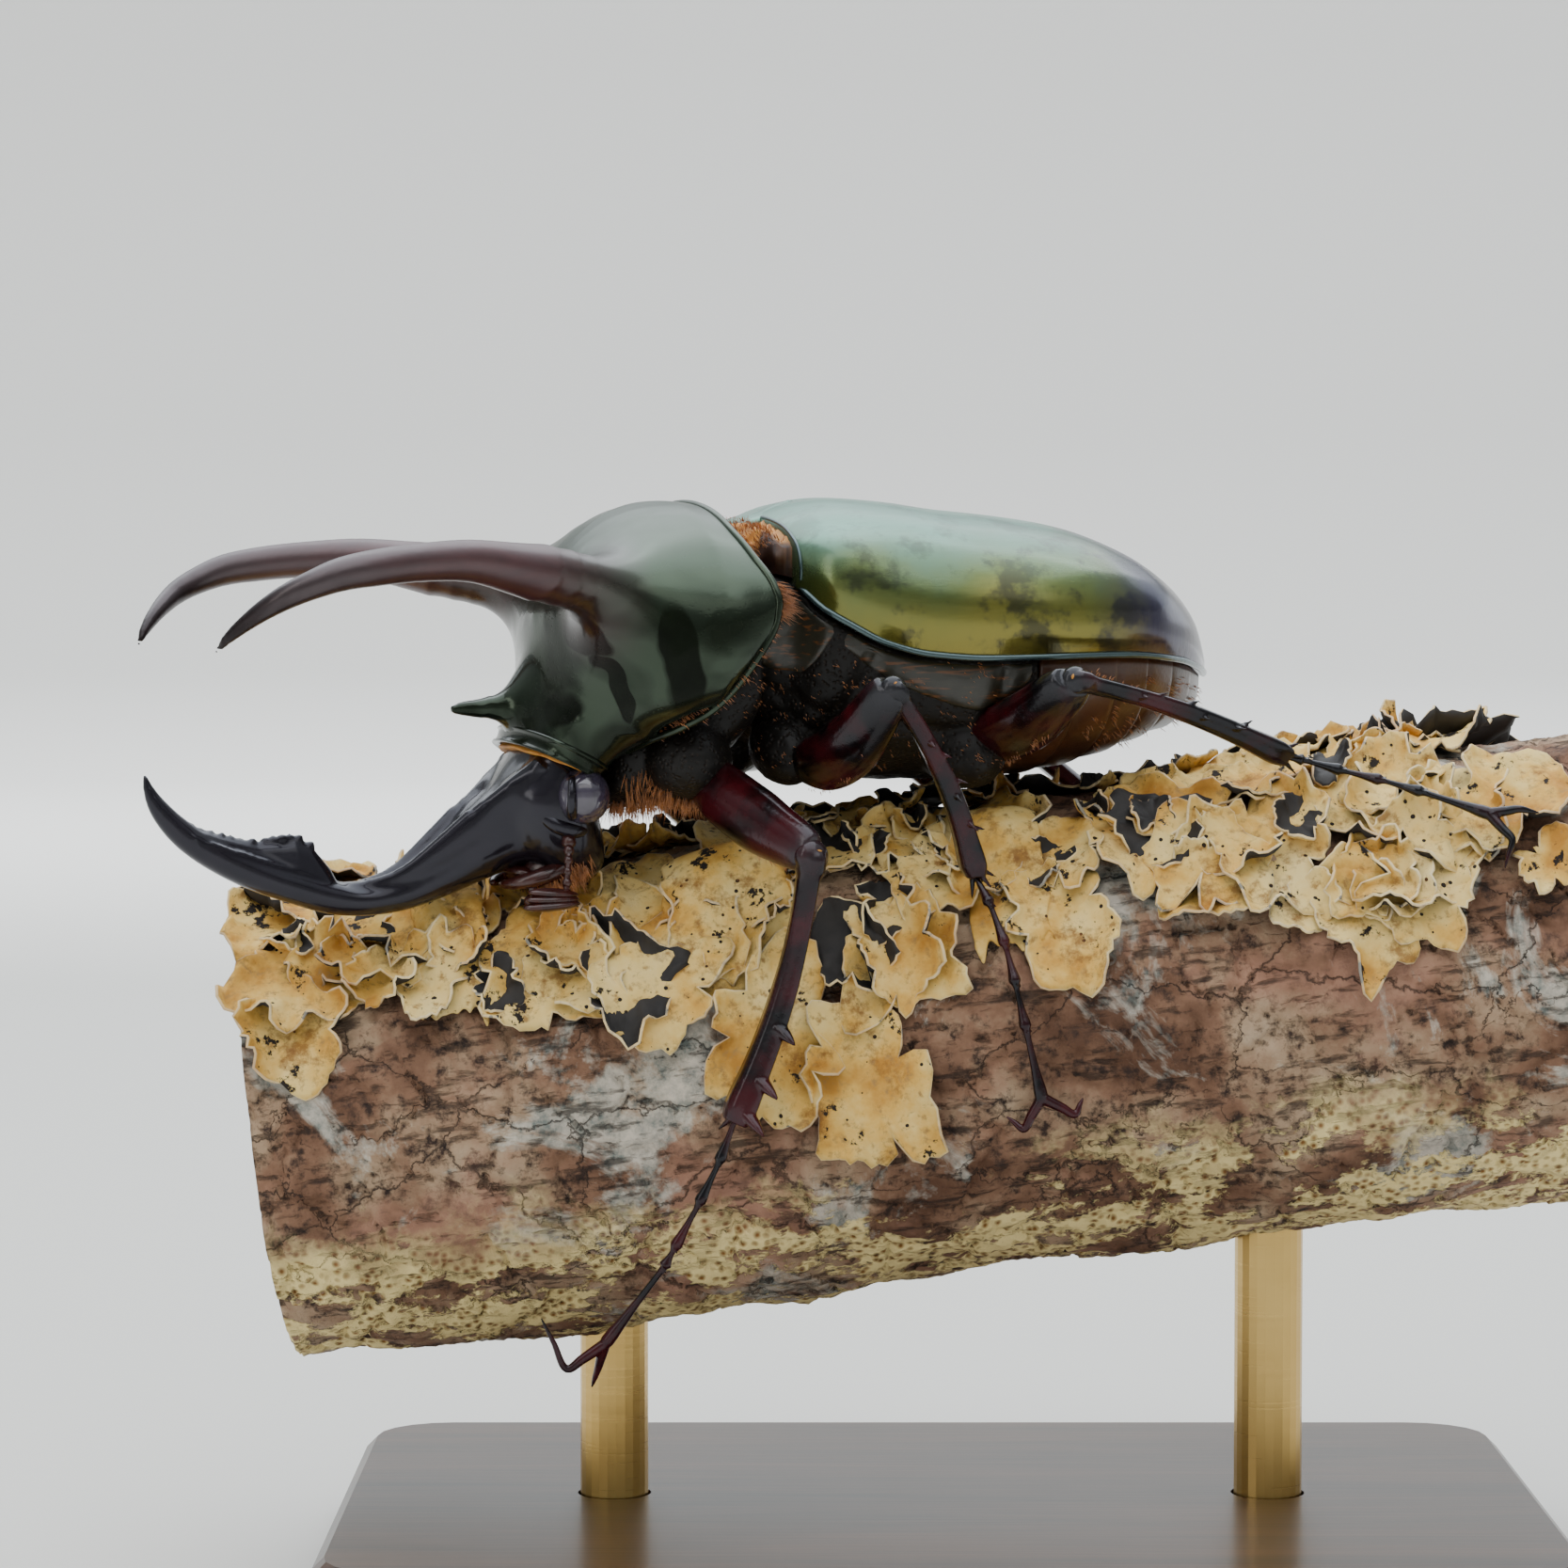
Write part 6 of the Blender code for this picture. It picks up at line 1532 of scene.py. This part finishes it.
print("faces of a leaf:", LEAF_SIDES * (len(LEAF_SHARES) - 1) + 1)

# %% A rolled leaf
roll_angle = curve([(0, 66), (0.22, 55), (0.4, 48), (0.55, 42), (0.68, 36), (0.78, 31), (0.87, 28),
                    (0.94, 28.5), (1, 31)])
roll_height = curve([(0, 0.5), (0.22, 0.8), (0.4, 1.5), (0.55, 2.7), (0.68, 3.6), (0.78, 3.5), (0.87, 2.6),
                     (0.94, 1.6), (1, 1.3)])


def lichen_roll(bm, first, last, turn, seed):
    """Adds a wide leaf whose upper margin has rolled over into a tube."""
    sheet = bmesh.new()
    bmesh.ops.create_grid(sheet, x_segments=60, y_segments=36, size=1.0)
    for vert in sheet.verts:
        along_share, share = (vert.co.x + 1) / 2, (vert.co.y + 1) / 2
        wave = noise.noise(Vector((along_share * 2.4, seed, share * 1.5)))
        torn = noise.noise(Vector((along_share * 6.0, seed + 4, 0)))
        along = first + (last - first) * (along_share + 0.10
                                          * noise.noise(Vector((share * 5, seed, along_share))))
        angle = roll_angle(share) + turn + 2.5 * wave * share + 7.0 * torn * (1 - share) ** 2
        lower = 0.55 + 0.45 * sin(pi * along_share) ** 0.5
        height = bark(along, radians(angle)) + 0.4 + (roll_height(share) + 0.5 * wave) * lower
        vert.co = Vector(on_branch(along, angle, height))
    outward = Vector(on_branch(first, 60, 5)) - Vector(on_branch(first, 60, 0))
    face_out(sheet)
    flat = [face for face in sheet.faces if face.calc_center_median().dot(BRANCH_UP) < -24]
    if sum((face.normal * face.calc_area() for face in flat), Vector()).dot(outward) < 0:
        bmesh.ops.reverse_faces(sheet, faces=sheet.faces)
    join(bm, sheet)


print("a roll climbs from", roll_angle(0), "to", roll_angle(1), "degrees round the branch")

# %% Where the leaves grow
chance = random.Random(21)
SOLID_LEAVES = [(-57, -10, 6.4, 2.6), (-50, 38, 7.0, 1.6), (-40, -28, 5.6, 2.2), (-22, 62, 6.8, 1.0),
                (8, 40, 6.4, 0.5),
                (33, 50, 6.8, 1.0), (46, -4, 5.4, 1.4), (59, 0, 6.2, 2.6), (64, 38, 6.6, 1.4),
                (65, -40, 5.8, 2.0)]
BIG_LEAVES = [(-45, 30, 7.5, 2.0, 1.2), (-33, 52, 7.0, 1.8, 1.3), (-20, 44, 8.0, 1.6, 1.1),
              (-8, 22, 8.5, 1.8, 1.0),
              (-12, 78, 6.6, 1.4, 1.7), (-3, 92, 6.8, 1.2, 1.6), (2, 62, 6.4, 1.6, 1.3), (12, 30, 7.0, 1.8, 1.2),
              (18, 58, 5.6, 1.6, 1.2), (28, 34, 7.4, 2.0, 1.1), (40, 46, 6.6, 2.0, 1.2), (48, 66, 5.0, 1.6, 1.4),
              (52, 34, 7.4, 2.2, 1.1), (40, 18, 6.0, 2.2, 1.0), (-57, 46, 7.0, 2.2, 1.2),
              (-60, 22, 6.0, 2.4, 1.0)]
patches = {"near": bmesh.new(), "top": bmesh.new(), "far": bmesh.new()}
for along, angle, size, curl in SOLID_LEAVES:
    lichen_leaf(patches["near" if angle > 15 else "top"], along, angle, size * 0.95, curl, chance, lift=1.2)
for along, angle, size, curl, stretch in BIG_LEAVES:
    lichen_leaf(patches["near"], along, angle, size, curl, chance, lift=0.5, stretch=stretch)
for patch, low, high, number in (("near", 18, 62, 42), ("top", -45, 18, 56), ("far", -120, -45, 30)):
    for _ in range(number):
        angle = chance.uniform(low, high)
        along = chance.uniform(BRANCH_START + 5, BRANCH_END - 5)
        size = chance.uniform(2.8, 6.4)
        under_body = -22 < along < 42 and -40 < angle < 25
        curl = chance.uniform(0.8, 1.6) if under_body else chance.uniform(1.0, 2.8)
        lichen_leaf(patches[patch], along, angle, size, curl, chance, lift=chance.uniform(0.1, 0.9),
                    stretch=chance.uniform(0.9, 1.4), turned=chance.random() < 0.14)
for _ in range(34):
    angle = chance.uniform(-20, 40)
    lichen_leaf(patches["near" if angle > 15 else "top"], chance.uniform(BRANCH_START + 4, BRANCH_END - 6), angle,
                chance.uniform(1.6, 3.2), chance.uniform(1.0, 2.4), chance, lift=chance.uniform(0.5, 1.2),
                turned=True)
for patch, bm in patches.items():
    leaves = len(bm.verts) // (LEAF_SIDES * len(LEAF_SHARES))
    store(bm, "rim", lambda index, _: LEAF_SHARES[-1 - index // LEAF_SIDES % len(LEAF_SHARES)])
    if patch == "near":
        for first, last, turn, seed in ((-21.0, -8.5, 0.0, 3.0), (9.0, 17.0, -3.0, 9.0),
                                        (-46.0, -39.0, -4.0, 15.0)):
            lichen_roll(bm, first, last, turn, seed)
    piece = place(bm, f"lichen_leaves_{patch}", (leaf_top, leaf_under), "bark", closed=False)
    shell = piece.modifiers.new("leaf thickness", "SOLIDIFY")
    shell.thickness = LEAF_THICKNESS * MM
    shell.offset = -1.0
    shell.material_offset = 1
    shell.material_offset_rim = 0
    print("lichen", patch, "leaves:", leaves, "triangles:", triangles(piece))

# %% [markdown]
# Soft orange skin joins the hard plates. It shows as a narrow rim under the hood, a ring that
# follows the hood's edge, and between the shield and the wing cases, a low arch across the back in
# thick folds.

# %% Soft skin under the hood and behind the shield
rings = []
angles = [2 * pi * k / 120 for k in range(120)]
for v, lift, drop in ((8.2, -2.4, 0.0), (8.8, -1.0, 0.0), (9.0, -0.40, 0.15), (9.0, -0.25, 0.3),
                      (9.0, -0.35, 0.45),
                      (9.0, -0.8, 0.52), (9.0, -2.0, 0.4)):
    rings.append([shield_point(v, a, lift) - Vector((0, 0, drop + 0.05 * sin(9 * a))) for a in angles])
place(loft(rings), "hood_skin", soft_skin, "underside")
collar_half, collar_top, collar_rim = wing_half(0.8) * WING_HALF, wing_top(0.8), wing_rim(0.8)
rings = []
for i in range(26):
    x = -4.6 + 5.3 * i / 25
    near = min(1.0, max(0.0, (x + 2.4) / 2.2))
    width = (1 - near) * belly_half(x) * 0.97 + near * collar_half * 0.95
    upper, lower = [], []
    for k in range(72):
        share = -0.9 + 1.8 * k / 71
        y = share * width
        z = wing_rim(x) + (6.4 - wing_rim(x)) * (1 - share ** 4)
        fold = (0.9 + 0.4 * sin(x * 2.6 + 2 * share) + 0.5 * noise.noise(Vector((x * 0.9, share * 14, 1)))
                + 0.35 * noise.noise(Vector((x * 2.2, share * 36, 5))))
        widest = collar_rim + 0.26 * (collar_top - collar_rim)
        collar = widest + (1 - min(1.0, abs(y) / collar_half) ** 2.25) ** (1 / 2.25) * (collar_top - widest)
        upper.append((x, y, (z + fold) * (1 - near) + (collar - 1.3 + 0.6 * fold) * near))
        lower.append((x, y, min(z - 0.6, upper[-1][2] - 0.4)))
    rings.append(upper + lower[::-1])
neck = loft(rings)
neck_tree = BVHTree.FromBMesh(neck)
# Painted shade: the neck skin darkens below 6.9 mm, down in the gap under the shield.
store(neck, "painted_shade", lambda _, at: min(1.0, max(0.0, (6.9 - at.z + 3.2 * noise.noise(at * 0.42)) / 1.3)))
place(neck, "neck_skin", soft_skin, "underside")
print("soft skin in place")

# %% [markdown]
# Short amber hairs, the setae, fringe the body wherever two plates of shell move against each
# other. Each tuft is a few tapering, three-sided hairs that grow from one point of the skin, drawn
# thicker than the real 0.03 mm so that they show. Its UV map, OFBake, gives it one small patch, so
# that a baked picture has one spot of colour for it.

# %% Finish of the hair
amber_hair, tree, shader, where = new_finish("amber setae", "B4622A", 0.45, ior=1.55)
hair_tone = two_toned("5A2A10", "DE8A3C", 600.0)
feed(shader, {"Base Color": hair_tone, "Sheen Weight": 0.2})
print("finish:", amber_hair.name)

# %% Growing tufts
hair_chance = random.Random(5)
HAIRS_IN_TUFT = 5
HAIR_PROFILE = ((0.0, 0.048), (0.5, 0.038), (1.0, 0.006))
tufts = []


def jitter(*spread):
    """A random step, at most so far along each axis."""
    return Vector(hair_chance.uniform(-most, most) for most in spread)


def grow(tree, start, aim, way, length, count, spread, stray=0.35):
    """Plants tufts where rays from around a start, sent towards aim, meet a skin."""
    for _ in range(count):
        at = Vector(start) + jitter(*spread)
        hit, normal, _, _ = tree.ray_cast(at, Vector(aim).normalized(), 60.0)
        if hit is None:
            continue
        outward = normal if normal.dot(Vector(aim)) < 0 else -normal
        lean = (Vector(way) + outward * 0.5 + jitter(stray, stray, stray)).normalized()
        tufts.append((hit - outward * 0.1, lean, length * hair_chance.uniform(0.6, 1.15)))


def fringe(points, way, length, count, spread, stray=0.3):
    """Plants tufts along a line of points."""
    for _ in range(count):
        place_at = hair_chance.uniform(0, len(points) - 1.001)
        at = Vector(points[int(place_at)]).lerp(Vector(points[int(place_at) + 1]), place_at % 1)
        at += jitter(*spread)
        lean = (Vector(way) + jitter(stray, stray, stray)).normalized()
        tufts.append((at, lean, length * hair_chance.uniform(0.6, 1.15)))


for side in (LEFT, RIGHT):
    grow(thorax_tree, (-10.5, side * 6, -30), (0, 0, 1), (-0.15, side * 0.25, -1), 2.0, 170, (4.5, 4.5, 0))
    grow(neck_tree, (-2.4, side * 7, 30), (0, 0, -1), (-0.3, side * 0.2, 1.0), 0.9, 230, (2.2, 7.0, 0))
    grow(thorax_tree, (8, side * 40, -11), (0, -side, 0), (0.6, side * 0.5, -0.4), 0.45, 130, (13, 0, 5.5))
    grow(belly_tree, (38, side * 30, -11), (0, -side, 0), (0.5, side * 0.6, -0.3), 0.8, 60, (9.0, 0, 3.5))
    hem = [shield_point(edge_station(side * a) + 0.12, side * a, -0.7) for a in arc(72, 92, 9)]
    fringe(hem, (1.0, side * 0.25, -0.25), 2.2, 80, (0.3, 0.2, 0.3))
    hem = [shield_point(edge_station(side * a) + 0.2, side * a, -0.6) for a in arc(92, 150, 20)]
    fringe(hem, (0.9, side * 0.25, -0.5), 1.0, 60, (0.3, 0.3, 0.3))
    fringe([(-18.5, side * 5.5, -25.5), (-20.5, side * 5.0, -27.6), (-22.5, side * 3.4, -28.2)],
           (0.3, side * 0.6, -1.0), 1.7, 90,
           (0.8, 0.8, 0.8))
    for which, reach, number in (("front", 0.9, 40), ("middle", 0.45, 14), ("hind", 0.45, 14)):
        hip, knee = (Vector(LEGS[which, side][key]) for key in ("hip", "knee"))
        half = FEMUR_WIDTH[which] * 0.42
        lower = [hip.lerp(knee, s) - Vector((0, 0, half * femur_size(s) + LEGS[which, side]["sag"] * sin(pi * s)))
                 for s in (0.2, 0.35, 0.5, 0.65, 0.8)]
        fringe(lower, (0.3, side * 0.3, -1.0), reach, number, (0.3, 0.3, 0.2))
    knee, ankle = (Vector(LEGS["hind", side][key]) for key in ("knee", "ankle"))
    fringe([knee.lerp(ankle, s) + Vector((0, 0, 1.0)) for s in (0.05, 0.3, 0.6)], (0.6, 0, 1.0), 0.8, 30,
           (0.3, 0.3, 0.2))
grow(belly_tree, (60, 0, -11), (-1, 0, 0), (0.8, 0, -0.3), 0.8, 30, (0, 6.0, 2.0))
print("tufts:", len(tufts))

# %% Making the hair
THIRD_TURN, QUARTER_TURN = 2.094, 1.57
hair = bmesh.new()
for root, lean, length in tufts:
    tuft = bmesh.new()
    for _ in range(HAIRS_IN_TUFT):
        way = (lean + jitter(0.28, 0.28, 0.28)).normalized()
        reach = length * hair_chance.uniform(0.6, 1.1)
        sag = Vector((0, 0, -0.18 * reach))
        start = root + jitter(0.42, 0.42, 0.42)
        cross = way.orthogonal().normalized()
        other = way.cross(cross)
        rings = []
        for share, radius in HAIR_PROFILE:
            at = start + way * reach * share + sag * share * share
            rings.append([at + (cross * cos(k * THIRD_TURN) + other * sin(k * THIRD_TURN)) * radius
                          for k in range(3)])
        loft(rings, bm=tuft)
    faces_each = len(tuft.faces)
    join(hair, tuft)
uv = hair.loops.layers.uv.new("OFBake")
hair.faces.ensure_lookup_table()
for number, face in enumerate(hair.faces):
    root = tufts[number // faces_each][0]
    spot = Vector((0.5 + 0.45 * atan2(root.y, -root.z - 5) / pi, 0.05 + 0.9 * (root.x + 35) / 100))
    for corner, loop in enumerate(face.loops):
        turn = corner * QUARTER_TURN
        loop[uv].uv = spot + Vector((0.0015 * cos(turn), 0.0015 * sin(turn)))
hair_piece = place(hair, "amber_hair", amber_hair, "underside")
print("hair triangles:", triangles(hair_piece), "in", len(tufts), "tufts")

# %% [markdown]
# The stand isn't in the photograph, so it stays plain: a base of stained walnut and two rods of
# brushed brass, both solids of the frame. Walnut shows long fibres about half a millimetre wide, so
# its noise is stretched along the base. A rod brushed while it turned shows fine rings, so its
# noise is squeezed along it.

# %% Finishes of the stand
walnut, tree, shader, where = new_finish("stained walnut, satin varnish", "2E1C12", 0.38, ior=1.5)
fibres = add("Mapping", {"Vector": where, "Rotation": (0.0, 0.0, BRANCH_YAW),
                         "Scale": (0.016, 0.0007, 0.001)}, vector_type="TEXTURE")
fibre = add("TexNoise", {"Vector": fibres, "Scale": 1.0, "Detail": 6.0})
bands = add("Mapping", {"Vector": where, "Rotation": (0.0, 0.0, BRANCH_YAW),
                        "Scale": (0.07, 0.008, 0.008)}, vector_type="TEXTURE")
band_wave = add("TexNoise", {"Vector": bands, "Scale": 1.0, "Detail": 3.0, "Distortion": 0.8})
figure = add("Mix", {"Factor": 0.4, "A": band_wave, "B": fibre}, data_type="FLOAT")
figure_share = add("MapRange", {"Value": figure}, span=(0.34, 0.66))
walnut_tone = add("Mix", {"Factor": figure_share, "A": "1C100A", "B": "4E3220"})
fibre_bump = add("Bump", {"Strength": 0.3, "Distance": 0.00005, "Height": fibre})
feed(shader, {"Base Color": walnut_tone, "Normal": fibre_bump, "Coat Weight": 0.3, "Coat Roughness": 0.2})

brass, tree, shader, where = new_finish("brushed brass", "C6A25A", 0.28, metallic=1.0)
turned = add("Mapping", {"Vector": where, "Scale": (60.0, 60.0, 5000.0)})
brush = add("TexNoise", {"Vector": turned, "Scale": 1.0, "Detail": 3.0})
brush_bump = add("Bump", {"Strength": 0.2, "Distance": 0.00002, "Height": brush})
brush_gloss = add("MapRange", {"Value": brush, "To Min": 0.2, "To Max": 0.42})
brass_tone = two_toned("A8803C", "DDBE7A", 60.0, 4.0)
for node, finish in (("stand_base", walnut), ("stand_rod_front", brass), ("stand_rod_back", brass)):
    for material_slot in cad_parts[node].material_slots:
        material_slot.material = finish
feed(shader, {"Normal": brush_bump, "Roughness": brush_gloss, "Base Color": brass_tone})
print("stand: walnut base, brass rods")
